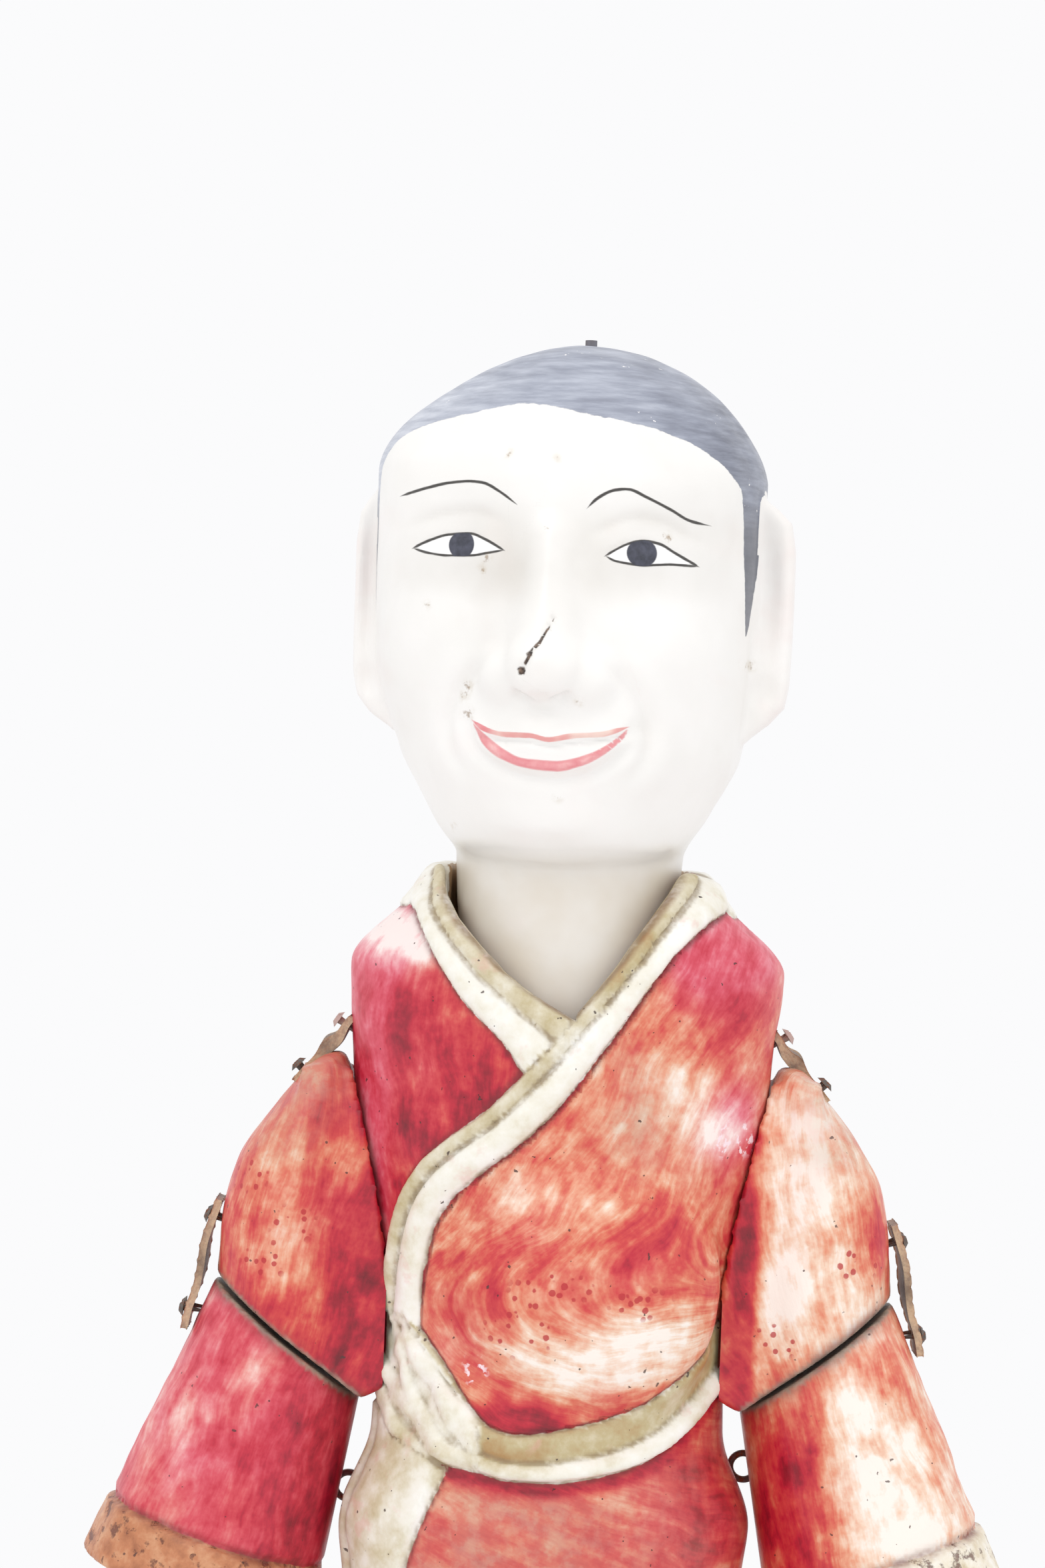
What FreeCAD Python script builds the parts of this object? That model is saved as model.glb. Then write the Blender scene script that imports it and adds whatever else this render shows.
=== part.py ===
import FreeCAD, Part
import os

import Sketcher
from FreeCAD import Placement, Rotation, Vector

# A carved, lacquered and painted wooden puppet: a smiling figure in a crossed robe, with a head
# that turns in its collar and arms hung on leather strap hinges, standing on a round base with a
# socket for the operator's pole.
#
# Millimetres. +Z is up, the figure faces -Y, and its own left side is +X. The origin is on the
# base's underside, at the mouth of the pole socket.

os.makedirs("parts", exist_ok=True)

doc = FreeCAD.newDocument("carved_puppet")
sheet = doc.addObject("Spreadsheet::Sheet", "dims")

UP = Vector(0, 0, 1)
FRONT_TO_BACK = Vector(0, 1, 0)
SIDES = {"left": 1, "right": -1}

DIMENSIONS = {
    # base and pole socket
    "base_radius": 66.0,
    "base_height": 18.0,
    "base_edge_round": 5.0,
    "pole_radius": 10.0,
    "ferrule_wall": 2.0,
    "ferrule_length": 46.0,
    "ferrule_fit": 0.05,
    "base_dowel_radius": 4.0,
    "base_dowel_length": 32.0,
    "base_dowel_bottom": 6.0,
    "base_dowel_x": 30.0,
    # shoes
    "shoe_half_width": 12.5,
    "shoe_half_length": 25.0,
    "shoe_height": 14.0,
    "shoe_x": 19.0,
    "shoe_y": -36.0,
    "shoe_notch_fit": 0.15,
    "shoe_peg_radius": 2.0,
    "shoe_peg_length": 14.0,
    "shoe_peg_y": -42.0,
    # chest
    "pouch_half_width": 27.0,
    "pouch_half_depth": 19.0,
    "pouch_half_height": 31.0,
    "pouch_x": 5.0,
    "pouch_y": -19.0,
    "pouch_z": 260.0,
    "collar_tip_z": 314.0,
    "collar_slope": 49.0,
    "collar_cut_side": 70.0,
    "collar_cut_back_y": -4.0,
    # neck and its pivot
    "neck_bottom_radius": 21.0,
    "neck_top_radius": 23.2,
    "neck_bottom_z": 299.6,
    "neck_top_z": 352.0,
    "neck_socket_radius": 23.8,
    "neck_socket_floor_z": 298.0,
    "washer_radius": 22.0,
    "washer_thickness": 1.5,
    "washer_hole_fit": 0.6,
    "dowel_radius": 8.0,
    "dowel_fit": 0.07,
    "dowel_bottom_z": 264.0,
    "dowel_length": 54.0,
    "dowel_end_gap": 0.5,
    "dowel_groove_radius": 6.0,
    "dowel_groove_z": 274.0,
    "dowel_groove_height": 4.4,
    "dowel_groove_overcut": 2.0,
    "neck_pin_radius": 1.9,
    "neck_pin_gap": 0.15,
    "neck_pin_length": 44.0,
    "neck_pin_front_y": -14.0,
    # head
    "head_turn": -9.0,
    "ear_width": 13.0,
    "ear_thickness": 5.0,
    "ear_height": 44.0,
    "ear_inner_x": 31.5,
    "ear_bottom_z": 372.0,
    "ear_front_y": -5.0,
    "nose_half_width": 8.0,
    "nose_half_depth": 9.0,
    "nose_half_height": 15.0,
    "nose_y": -42.0,
    "nose_z": 388.0,
    "crown_peg_radius": 1.2,
    "crown_peg_length": 5.0,
    "crown_peg_bottom_z": 444.0,
    # arms
    "shoulder_pivot_x": 44.2,
    "shoulder_pivot_z": 304.6,
    "elbow_cut_slope": 37.1,
    "elbow_middle_x": 53.2,
    "elbow_middle_z": 247.0,
    "elbow_gap": 1.7,
    "elbow_pivot_x": 69.6,
    "elbow_pivot_z": 257.4,
    "cut_block": 90.0,
    "forearm_top_radius": 17.2,
    "forearm_end_radius": 24.4,
    "forearm_length": 58.9,
    "forearm_tilt": 16.9,
    "forearm_end_x": 69.6,
    "forearm_end_z": 194.8,
    "sleeve_mouth_radius": 20.6,
    "sleeve_mouth_depth": 9.0,
    "sleeve_mouth_overcut": 5.0,
    # hands
    "wrist_radius": 7.6,
    "wrist_length": 16.0,
    "palm_half_thickness": 6.6,
    "palm_half_width": 12.0,
    "palm_half_length": 20.0,
    "palm_drop": 20.0,
    "thumb_half_thickness": 3.6,
    "thumb_half_width": 4.2,
    "thumb_half_length": 11.0,
    "thumb_rise": 4.0,
    "wrist_peg_radius": 3.5,
    "wrist_peg_length": 24.0,
    "wrist_peg_bottom": -2.0,
    "peg_fit": 0.05,
    # leather straps and their tacks
    "strap_thickness": 1.3,
    "strap_width": 13.0,
    "strap_front_y": -3.0,
    "tack_head_radius": 1.7,
    "tack_head_top_radius": 0.765,
    "tack_head_height": 0.9,
    "tack_shank_radius": 0.6,
    "tack_point_radius": 0.18,
    "tack_shank_length": 5.5,
    "tack_hole_radius": 0.8,
    "tack_spacing": 6.5,
    "tack_head_fit": 0.08,
    "strap_near_end": 0.14,
    "strap_far_end": 0.86,
    # wire guide eyes at the hips
    "eye_ring_radius": 2.7,
    "eye_wire_radius": 0.7,
    "eye_shank_length": 11.0,
    "eye_y": 12.0,
    "eye_x": 36.9,
    "eye_left_z": 221.0,
    "eye_right_z": 214.0,
}

# Horizontal sections of the robe, hem to collar: height, half width, half depth.
ROBE_SECTIONS = [
    (18.0, 52.0, 46.0),
    (60.0, 48.0, 42.5),
    (110.0, 43.5, 38.5),
    (160.0, 41.0, 36.0),
    (198.0, 39.8, 34.5),
    (211.0, 41.0, 34.5),
    (230.0, 35.2, 33.0),
    (248.0, 34.8, 31.0),
    (279.0, 39.2, 31.0),
    (290.0, 41.2, 30.5),
    (306.0, 42.4, 30.0),
    (322.0, 43.6, 29.0),
    (336.0, 31.5, 27.8),
    (342.0, 27.2, 26.8),
]

# Horizontal sections of the head, chin to crown: height, half width, half depth, middle's y.
HEAD_SECTIONS = [
    (343.0, 17.0, 20.0, -9.0),
    (347.0, 23.0, 27.0, -7.0),
    (355.0, 28.8, 34.0, -4.0),
    (366.0, 33.8, 39.5, -2.0),
    (385.0, 35.8, 43.0, 0.0),
    (403.0, 36.4, 45.0, 0.5),
    (421.0, 36.8, 43.5, 1.0),
    (435.0, 29.4, 35.5, 1.5),
    (443.5, 17.3, 21.5, 2.0),
    (447.5, 6.0, 8.0, 2.0),
]

# Horizontal sections of an upper arm, cap to elbow: height, inner x, outer x, half depth.
UPPER_ARM_SECTIONS = [
    (303.5, 44.0, 48.0, 5.5),
    (299.5, 43.0, 51.7, 9.5),
    (290.5, 42.2, 59.3, 14.0),
    (280.5, 40.4, 65.2, 16.0),
    (270.0, 39.0, 67.2, 17.0),
    (257.0, 37.2, 67.9, 17.2),
    (232.0, 36.2, 68.2, 17.0),
]

# Where each strap runs, outward and up from its hinge's pivot: its start, its bend and its end.
SHOULDER_STRAP_LINE = [(-1.2, 6.4), (3.2, 0.0), (10.0, -7.0)]
ELBOW_STRAP_LINE = [(-2.1, 15.1), (2.0, 2.1), (4.0, -10.8)]


def fill_sheet():
    row = 0
    for alias, value in DIMENSIONS.items():
        row += 1
        write_cell(row, alias, value)
    for prefix, rows, columns in (
        ("robe", ROBE_SECTIONS, ("height", "wide", "deep")),
        ("skull", HEAD_SECTIONS, ("height", "wide", "deep", "middle")),
        ("upper_arm", UPPER_ARM_SECTIONS, ("height", "inner", "outer", "deep")),
    ):
        for number, values in enumerate(rows):
            for column, value in zip(columns, values):
                row += 1
                write_cell(row, f"{prefix}_{column}_{number}", value)
    doc.recompute()


def write_cell(row, alias, value):
    sheet.set(f"A{row}", alias)
    sheet.set(f"B{row}", str(value))
    sheet.setAlias(f"B{row}", alias)


def dim(alias):
    return float(sheet.get(alias))


def cell(alias):
    return f"dims.{alias}"


# ---------------------------------------------------------------- shape helpers

finished = {}


def finish_node(name, item):
    item.Label = name
    finished[name] = item
    return item


def solid(kind, name, sizes, where=None):
    item = doc.addObject(kind, name)
    for prop, expression in sizes.items():
        item.setExpression(prop, expression)
    item.Placement = where or Placement()
    return item


def ellipsoid(name, half_x, half_y, half_z, where):
    item = solid("Part::Ellipsoid", name, {"Radius2": half_x, "Radius3": half_y, "Radius1": half_z}, where)
    item.Angle1 = -90
    item.Angle2 = 90
    item.Angle3 = 360
    return item


def fuse(name, pieces):
    item = doc.addObject("Part::MultiFuse", name)
    item.Shapes = pieces
    return item


def cut(name, base, tools):
    item = doc.addObject("Part::Cut", name)
    item.Base = base
    item.Tool = tools[0] if len(tools) == 1 else fuse(name + "_tools", tools)
    return item


def ellipse_section(name, half_x, half_y, where, wider_in_x):
    item = doc.addObject("Part::Ellipse", name)
    item.setExpression("MajorRadius", half_x if wider_in_x else half_y)
    item.setExpression("MinorRadius", half_y if wider_in_x else half_x)
    turn = 0 if wider_in_x else 90
    item.Placement = where.multiply(Placement(Vector(), Rotation(UP, turn)))
    return item


def loft(name, sections):
    item = doc.addObject("Part::Loft", name)
    item.Sections = sections
    item.Solid = True
    item.Ruled = True
    return item


def disc_body(name, radius, hole_radius, height):
    """A PartDesign ring: two bound circles, padded upwards."""
    body = doc.addObject("PartDesign::Body", name)
    sketch = body.newObject("Sketcher::SketchObject", name + "_sketch")
    plane = next(f for f in body.Origin.OriginFeatures if f.Role == "XY_Plane")
    sketch.AttachmentSupport = [(plane, "")]
    sketch.MapMode = "FlatFace"
    for index, (label, expression, start) in enumerate(
        (("outer", radius, 20.0), ("inner", hole_radius, 5.0))
    ):
        sketch.addGeometry(Part.Circle(Vector(), UP, start))
        sketch.addConstraint(Sketcher.Constraint("Coincident", index, 3, -1, 1))
        bound = sketch.addConstraint(Sketcher.Constraint("Radius", index, start))
        sketch.renameConstraint(bound, label)
        sketch.setExpression("Constraints." + label, expression)
    pad = body.newObject("PartDesign::Pad", name + "_pad")
    pad.Profile = sketch
    pad.setExpression("Length", height)
    doc.recompute()
    return body, pad


def circle_edges(shape, radius, height):
    """Names of the shape's circular edges of this radius at this height."""
    names = []
    for number, edge in enumerate(shape.Edges, 1):
        round_edge = isinstance(edge.Curve, Part.Circle)
        if round_edge and abs(edge.Curve.Radius - radius) < 0.01 and abs(edge.CenterOfMass.z - height) < 0.01:
            names.append(f"Edge{number}")
    return names


def sided(name, side):
    return f"{name}_{side}"


def tack_master():
    """One upholstery tack, its head's underside at the origin and its shank along -Z."""
    shank = Part.makeCone(
        dim("tack_point_radius"),
        dim("tack_shank_radius"),
        dim("tack_shank_length"),
        Vector(0, 0, -dim("tack_shank_length")),
    )
    head = Part.makeCone(
        dim("tack_head_radius"),
        dim("tack_head_top_radius"),
        dim("tack_head_height"),
    )
    return shank.fuse(head)


def tack_group(name, seats):
    """Separate tacks, one at each seat: (point under the head, outward direction)."""
    master = tack_master()
    tacks = []
    for point, outward in seats:
        tack = master.copy()
        tack.Placement = Placement(point, Rotation(UP, outward))
        tacks.append(tack)
    item = doc.addObject("Part::Feature", name)
    item.Shape = Part.makeCompound(tacks)
    return finish_node(name, item)


class StrapArc:
    """The line of a strap in the XZ plane, with the way out from the wood at each point."""

    def __init__(self, start, bend, end, outward_sign):
        self.edge = Part.Arc(start, bend, end).toShape()
        self.points = (start, bend, end)
        self.outward_sign = outward_sign

    def outward(self, point):
        away = point - self.edge.Curve.Center
        away.normalize()
        return away * self.outward_sign

    def shifted(self, distance):
        return Part.Arc(*[point + self.outward(point) * distance for point in self.points]).toShape()

    def seats(self, fraction):
        """Two tack seats side by side on the strap's outer face, this far along it."""
        parameter = self.edge.getParameterByLength(fraction * self.edge.Length)
        point = self.edge.valueAt(parameter)
        outward = self.outward(point)
        face = point + outward * (dim("strap_thickness") + dim("tack_head_fit"))
        middle = dim("strap_width") / 2
        return [
            (face + FRONT_TO_BACK * (middle + step * dim("tack_spacing") / 2), outward) for step in (-1, 1)
        ]


def strap(name, line, seats):
    """A leather strap along its line, holed where tacks pass through it."""
    inner = line.edge
    outer = line.shifted(dim("strap_thickness"))
    ends = [Part.makeLine(near.Point, far.Point) for near, far in zip(inner.Vertexes, outer.Vertexes)]
    face = Part.Face(Part.Wire(Part.__sortEdges__([inner, outer] + ends)))
    band = face.extrude(FRONT_TO_BACK * dim("strap_width"))
    reach = 4 * dim("strap_thickness")
    for point, outward in seats:
        hole = Part.makeCylinder(dim("tack_hole_radius"), 2 * reach, point - outward * reach, outward)
        band = band.cut(hole)
    item = doc.addObject("Part::Feature", name)
    item.Shape = band
    return finish_node(name, item)


# ---------------------------------------------------------------- base, shoes and robe


def make_base():
    body, pad = disc_body(
        "base_block",
        cell("base_radius"),
        "dims.pole_radius + dims.ferrule_wall + dims.ferrule_fit",
        cell("base_height"),
    )
    rounding = body.newObject("PartDesign::Fillet", "base_block_round")
    rounding.Base = (pad, circle_edges(pad.Shape, dim("base_radius"), dim("base_height")))
    rounding.setExpression("Radius", cell("base_edge_round"))
    doc.recompute()
    body.Tip = rounding
    # The dowels and shoe pegs are let into the top of the base.
    holes = [base_dowel(side, dim("peg_fit")) for side in SIDES] + [shoe_peg(side, dim("peg_fit")) for side in SIDES]
    finish_node("base_block", cut("base_block_drilled", body, holes))

    ferrule, _ = disc_body(
        "pole_ferrule", "dims.pole_radius + dims.ferrule_wall", cell("pole_radius"), cell("ferrule_length")
    )
    finish_node("pole_ferrule", ferrule)


def base_dowel(side, grow):
    where = Placement(Vector(SIDES[side] * dim("base_dowel_x"), 0, dim("base_dowel_bottom")), Rotation())
    sizes = {"Radius": f"dims.base_dowel_radius + {grow}", "Height": cell("base_dowel_length")}
    return solid("Part::Cylinder", sided("base_dowel", side), sizes, where)


def shoe_peg(side, grow):
    start = dim("base_height") - dim("shoe_peg_length") / 2
    where = Placement(Vector(SIDES[side] * dim("shoe_x"), dim("shoe_peg_y"), start), Rotation())
    sizes = {"Radius": f"dims.shoe_peg_radius + {grow}", "Height": cell("shoe_peg_length")}
    return solid("Part::Cylinder", sided("shoe_peg", side), sizes, where)


def shoe_form(side, grow):
    where = Placement(Vector(SIDES[side] * dim("shoe_x"), dim("shoe_y"), dim("base_height")), Rotation())
    return ellipsoid(
        sided("shoe_form", side),
        f"dims.shoe_half_width + {grow}",
        f"dims.shoe_half_length + {grow}",
        f"dims.shoe_height + {grow}",
        where,
    )


def make_shoes():
    for side in SIDES:
        ground = solid(
            "Part::Box",
            sided("shoe_ground", side),
            {"Length": cell("cut_block"), "Width": cell("cut_block"), "Height": cell("base_height")},
            Placement(
                Vector(SIDES[side] * dim("shoe_x") - dim("cut_block") / 2, dim("shoe_y") - dim("cut_block") / 2, 0),
                Rotation(),
            ),
        )
        finish_node(
            sided("shoe", side),
            cut(sided("shoe_cut", side), shoe_form(side, 0.0), [ground, shoe_peg(side, dim("peg_fit"))]),
        )
    for name, maker in (("base_dowels", base_dowel), ("shoe_pegs", shoe_peg)):
        group = doc.addObject("Part::Compound", name)
        group.Links = [maker(side, 0.0) for side in SIDES]
        finish_node(name, group)


def neck_pin(grow):
    x = dim("dowel_groove_radius") + dim("neck_pin_radius") + dim("neck_pin_gap")
    z = dim("dowel_groove_z") + dim("dowel_groove_height") / 2
    where = Placement(Vector(x, dim("neck_pin_front_y"), z), Rotation(UP, FRONT_TO_BACK))
    sizes = {"Radius": f"dims.neck_pin_radius + {grow}", "Height": cell("neck_pin_length")}
    return solid("Part::Cylinder", "neck_pin_rod", sizes, where)


def make_robe():
    sections = []
    for number, (height, _, _) in enumerate(ROBE_SECTIONS):
        where = Placement(Vector(0, 0, height), Rotation())
        wide, deep = cell(f"robe_wide_{number}"), cell(f"robe_deep_{number}")
        sections.append(ellipse_section(f"robe_section_{number}", wide, deep, where, True))
    pouch = ellipsoid(
        "pouch",
        cell("pouch_half_width"),
        cell("pouch_half_depth"),
        cell("pouch_half_height"),
        Placement(Vector(dim("pouch_x"), dim("pouch_y"), dim("pouch_z")), Rotation()),
    )
    carved = fuse("robe_carved", [loft("robe_loft", sections), pouch])

    socket = solid(
        "Part::Cylinder",
        "neck_socket",
        {"Radius": cell("neck_socket_radius"), "Height": "dims.neck_top_z - dims.neck_socket_floor_z"},
        Placement(Vector(0, 0, dim("neck_socket_floor_z")), Rotation()),
    )
    dowel_bore = solid(
        "Part::Cylinder",
        "dowel_bore",
        {"Radius": "dims.dowel_radius + dims.dowel_fit", "Height": cell("dowel_length")},
        Placement(Vector(0, 0, dim("dowel_bottom_z") - dim("dowel_end_gap")), Rotation()),
    )
    # The crossed collar leaves a V in front of the neck.
    collar_v = solid(
        "Part::Box",
        "collar_v",
        {"Length": cell("collar_cut_side"), "Width": cell("collar_cut_side"), "Height": cell("collar_cut_side")},
        Placement(
            Vector(0, dim("collar_cut_back_y") - dim("collar_cut_side"), dim("collar_tip_z")),
            Rotation(FRONT_TO_BACK, -dim("collar_slope")),
        ),
    )
    pole_hole = solid(
        "Part::Cylinder",
        "pole_hole",
        {
            "Radius": "dims.pole_radius + dims.ferrule_wall + dims.ferrule_fit",
            "Height": "dims.ferrule_length + dims.ferrule_fit",
        },
    )
    pin_hole = neck_pin(dim("peg_fit"))
    dowel_holes = [base_dowel(side, dim("peg_fit")) for side in SIDES]
    notches = [shoe_form(side, dim("shoe_notch_fit")) for side in SIDES]
    tools = [socket, dowel_bore, collar_v, pole_hole, pin_hole] + dowel_holes + notches
    finish_node("body_block", cut("body_block_cut", carved, tools))
    finish_node("neck_pin", neck_pin(0.0))


# ---------------------------------------------------------------- head


def head_frame(point, turn=None):
    """A place in the head's own frame, carried round with the head's rest turn."""
    turned = Placement(Vector(), Rotation(UP, dim("head_turn")))
    return turned.multiply(Placement(point, turn or Rotation()))


def make_head():
    sections = []
    for number, (height, _, _, middle) in enumerate(HEAD_SECTIONS):
        wide, deep = cell(f"skull_wide_{number}"), cell(f"skull_deep_{number}")
        where = head_frame(Vector(0, middle, height))
        sections.append(ellipse_section(f"skull_section_{number}", wide, deep, where, False))
    neck = solid(
        "Part::Cone",
        "neck",
        {
            "Radius1": cell("neck_bottom_radius"),
            "Radius2": cell("neck_top_radius"),
            "Height": "dims.neck_top_z - dims.neck_bottom_z",
        },
        Placement(Vector(0, 0, dim("neck_bottom_z")), Rotation()),
    )
    nose = ellipsoid(
        "nose",
        cell("nose_half_width"),
        cell("nose_half_depth"),
        cell("nose_half_height"),
        head_frame(Vector(0, dim("nose_y"), dim("nose_z"))),
    )
    ears = []
    for side, sign in SIDES.items():
        left_edge = dim("ear_inner_x") if sign > 0 else -dim("ear_inner_x") - dim("ear_width")
        slab = solid(
            "Part::Box",
            sided("ear", side),
            {"Length": cell("ear_width"), "Width": cell("ear_thickness"), "Height": cell("ear_height")},
            head_frame(Vector(left_edge, dim("ear_front_y"), dim("ear_bottom_z"))),
        )
        ears.append(slab)
    carved = fuse("head_carved", [loft("skull", sections), neck, nose] + ears)
    dowel_hole = solid(
        "Part::Cylinder",
        "neck_dowel_hole",
        {"Radius": "dims.dowel_radius + dims.peg_fit", "Height": cell("dowel_length")},
        Placement(Vector(0, 0, dim("dowel_bottom_z") + dim("peg_fit")), Rotation()),
    )
    peg_hole = crown_peg(dim("peg_fit"))
    finish_node("head", cut("head_cut", carved, [dowel_hole, peg_hole]))
    finish_node("crown_peg", crown_peg(0.0))

    shaft = solid(
        "Part::Cylinder",
        "dowel_shaft",
        {"Radius": cell("dowel_radius"), "Height": cell("dowel_length")},
        Placement(Vector(0, 0, dim("dowel_bottom_z")), Rotation()),
    )
    groove_place = Placement(Vector(0, 0, dim("dowel_groove_z")), Rotation())
    groove_height = {"Height": cell("dowel_groove_height")}
    groove_outer = solid(
        "Part::Cylinder", "groove_outer", {"Radius": "dims.dowel_radius + dims.dowel_groove_overcut", **groove_height}, groove_place
    )
    groove_core = solid(
        "Part::Cylinder", "groove_core", {"Radius": cell("dowel_groove_radius"), **groove_height}, groove_place
    )
    groove = cut("dowel_groove", groove_outer, [groove_core])
    finish_node("neck_dowel", cut("neck_dowel_cut", shaft, [groove]))

    washer, _ = disc_body(
        "neck_washer", cell("washer_radius"), "dims.dowel_radius + dims.washer_hole_fit", cell("washer_thickness")
    )
    washer.Placement = Placement(Vector(0, 0, dim("neck_socket_floor_z")), Rotation())
    finish_node("neck_washer", washer)


def crown_peg(grow):
    sizes = {"Radius": f"dims.crown_peg_radius + {grow}", "Height": cell("crown_peg_length")}
    return solid("Part::Cylinder", "crown_peg_rod", sizes, head_frame(Vector(0, 2, dim("crown_peg_bottom_z"))))


# ---------------------------------------------------------------- arms


def elbow_block(side, above):
    """A block whose face is the slanted elbow cut: below it for the upper arm, above it for the forearm."""
    sign = SIDES[side]
    half = dim("cut_block") / 2
    start = -dim("elbow_gap") if above else -dim("cut_block")
    slant = Placement(
        Vector(sign * dim("elbow_middle_x"), 0, dim("elbow_middle_z")),
        Rotation(FRONT_TO_BACK, -sign * dim("elbow_cut_slope")),
    )
    where = slant.multiply(Placement(Vector(-half, -half, start), Rotation()))
    block = {"Length": cell("cut_block"), "Width": cell("cut_block"), "Height": cell("cut_block")}
    return solid("Part::Box", sided("elbow_block", side), block, where)


def make_upper_arm(side):
    sign = SIDES[side]
    sections = []
    for number, (height, inner, outer, _) in enumerate(UPPER_ARM_SECTIONS):
        wide = f"(dims.upper_arm_outer_{number} - dims.upper_arm_inner_{number}) / 2"
        where = Placement(Vector(sign * (inner + outer) / 2, 0, height), Rotation())
        deep = cell(f"upper_arm_deep_{number}")
        name = sided(f"upper_arm_section_{number}", side)
        sections.append(ellipse_section(name, wide, deep, where, False))
    form = loft(sided("upper_arm_loft", side), sections)
    finish_node(sided("upper_arm", side), cut(sided("upper_arm_cut", side), form, [elbow_block(side, False)]))


def forearm_frame(side, drop=0.0, forward=0.0):
    """A place on the forearm's axis, drop below the sleeve's end, with +Z up the forearm."""
    sign = SIDES[side]
    end = Placement(
        Vector(sign * dim("forearm_end_x"), 0, dim("forearm_end_z")),
        Rotation(FRONT_TO_BACK, -sign * dim("forearm_tilt")),
    )
    return end.multiply(Placement(Vector(0, -forward, -drop), Rotation()))


def make_forearm(side):
    sleeve = solid(
        "Part::Cone",
        sided("sleeve", side),
        {
            "Radius1": cell("forearm_end_radius"),
            "Radius2": cell("forearm_top_radius"),
            "Height": cell("forearm_length"),
        },
        forearm_frame(side),
    )
    mouth = solid(
        "Part::Cylinder",
        sided("sleeve_mouth", side),
        {"Radius": cell("sleeve_mouth_radius"), "Height": "dims.sleeve_mouth_depth + dims.sleeve_mouth_overcut"},
        forearm_frame(side, dim("sleeve_mouth_overcut")),
    )
    tools = [elbow_block(side, True), mouth, wrist_peg(side, dim("peg_fit"))]
    finish_node(sided("forearm", side), cut(sided("forearm_cut", side), sleeve, tools))


def wrist_peg(side, grow):
    sizes = {"Radius": f"dims.wrist_peg_radius + {grow}", "Height": cell("wrist_peg_length")}
    return solid("Part::Cylinder", sided("wrist_peg_rod", side), sizes, forearm_frame(side, -dim("wrist_peg_bottom")))


def make_hand(side):
    drop = dim("palm_drop")
    palm = ellipsoid(
        sided("palm", side),
        cell("palm_half_thickness"),
        cell("palm_half_width"),
        cell("palm_half_length"),
        forearm_frame(side, drop),
    )
    thumb = ellipsoid(
        sided("thumb", side),
        cell("thumb_half_thickness"),
        cell("thumb_half_width"),
        cell("thumb_half_length"),
        forearm_frame(side, drop - dim("thumb_rise"), dim("palm_half_width")),
    )
    wrist = solid(
        "Part::Cylinder",
        sided("wrist", side),
        {"Radius": cell("wrist_radius"), "Height": cell("wrist_length")},
        forearm_frame(side, dim("wrist_length") - dim("sleeve_mouth_depth") + dim("peg_fit")),
    )
    carved = fuse(sided("hand_carved", side), [palm, thumb, wrist])
    finish_node(
        sided("hand", side), cut(sided("hand_cut", side), carved, [wrist_peg(side, dim("peg_fit"))])
    )
    finish_node(sided("wrist_peg", side), wrist_peg(side, 0.0))


# ---------------------------------------------------------------- straps, tacks and guide eyes


def strap_arc(side, hinge, line, outward_sign):
    pivot_x = dim(f"{hinge}_pivot_x")
    pivot_z = dim(f"{hinge}_pivot_z")
    points = [Vector(SIDES[side] * (pivot_x + out), dim("strap_front_y"), pivot_z + up) for out, up in line]
    return StrapArc(*points, outward_sign)


def make_straps(side):
    # The shoulder strap runs from the robe's side over the arm's cap, hollow side out.
    shoulder = strap_arc(side, "shoulder", SHOULDER_STRAP_LINE, -1)
    body_seats = shoulder.seats(dim("strap_near_end"))
    arm_seats = shoulder.seats(dim("strap_far_end"))
    strap(sided("shoulder_strap", side), shoulder, body_seats + arm_seats)

    # The elbow strap bulges over the outer corner, from the upper arm to the forearm.
    elbow = strap_arc(side, "elbow", ELBOW_STRAP_LINE, 1)
    upper_seats = elbow.seats(dim("strap_near_end"))
    lower_seats = elbow.seats(dim("strap_far_end"))
    strap(sided("elbow_strap", side), elbow, upper_seats + lower_seats)

    tack_group(sided("upper_arm_tacks", side), arm_seats + upper_seats)
    tack_group(sided("forearm_tacks", side), lower_seats)
    return body_seats


def make_guide_eye(side):
    sign = SIDES[side]
    height = dim(f"eye_{side}_z")
    reach = dim("eye_ring_radius")
    middle = Vector(sign * (dim("eye_x") + reach + dim("eye_wire_radius")), dim("eye_y"), height)
    ring = solid(
        "Part::Torus",
        sided("eye_ring", side),
        {"Radius1": cell("eye_ring_radius"), "Radius2": cell("eye_wire_radius")},
        Placement(middle, Rotation(UP, FRONT_TO_BACK)),
    )
    shank = solid(
        "Part::Cylinder",
        sided("eye_shank", side),
        {"Radius": cell("eye_wire_radius"), "Height": cell("eye_shank_length")},
        Placement(middle - Vector(sign * reach, 0, 0), Rotation(UP, Vector(-sign, 0, 0))),
    )
    finish_node(sided("hip_guide_eye", side), fuse(sided("hip_guide_eye_wire", side), [ring, shank]))


# ---------------------------------------------------------------- build, check and write


def main():
    fill_sheet()
    make_base()
    make_shoes()
    make_robe()
    make_head()
    body_seats = []
    for side in SIDES:
        make_upper_arm(side)
        make_forearm(side)
        make_hand(side)
        body_seats += make_straps(side)
        make_guide_eye(side)
    tack_group("shoulder_tacks", body_seats)
    doc.recompute()
    check_and_export()


def check_and_export():
    for item in doc.Objects:
        if "Invalid" in item.State or "Error" in item.State:
            raise RuntimeError(f"{item.Label} did not compute: {item.State}")
    for name, item in finished.items():
        if item.Shape.isNull() or not item.Shape.isValid() or not item.Shape.Solids:
            raise RuntimeError(f"{name} is not a valid solid")
    for name, item in finished.items():
        item.Shape.exportStep(f"parts/{name}.step")
        box = item.Shape.BoundBox
        print(
            f"{name}: {len(item.Shape.Solids)} solid(s), {item.Shape.Volume:.0f} mm3, "
            f"x {box.XMin:.1f}..{box.XMax:.1f} y {box.YMin:.1f}..{box.YMax:.1f} z {box.ZMin:.1f}..{box.ZMax:.1f}"
        )


main()
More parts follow.
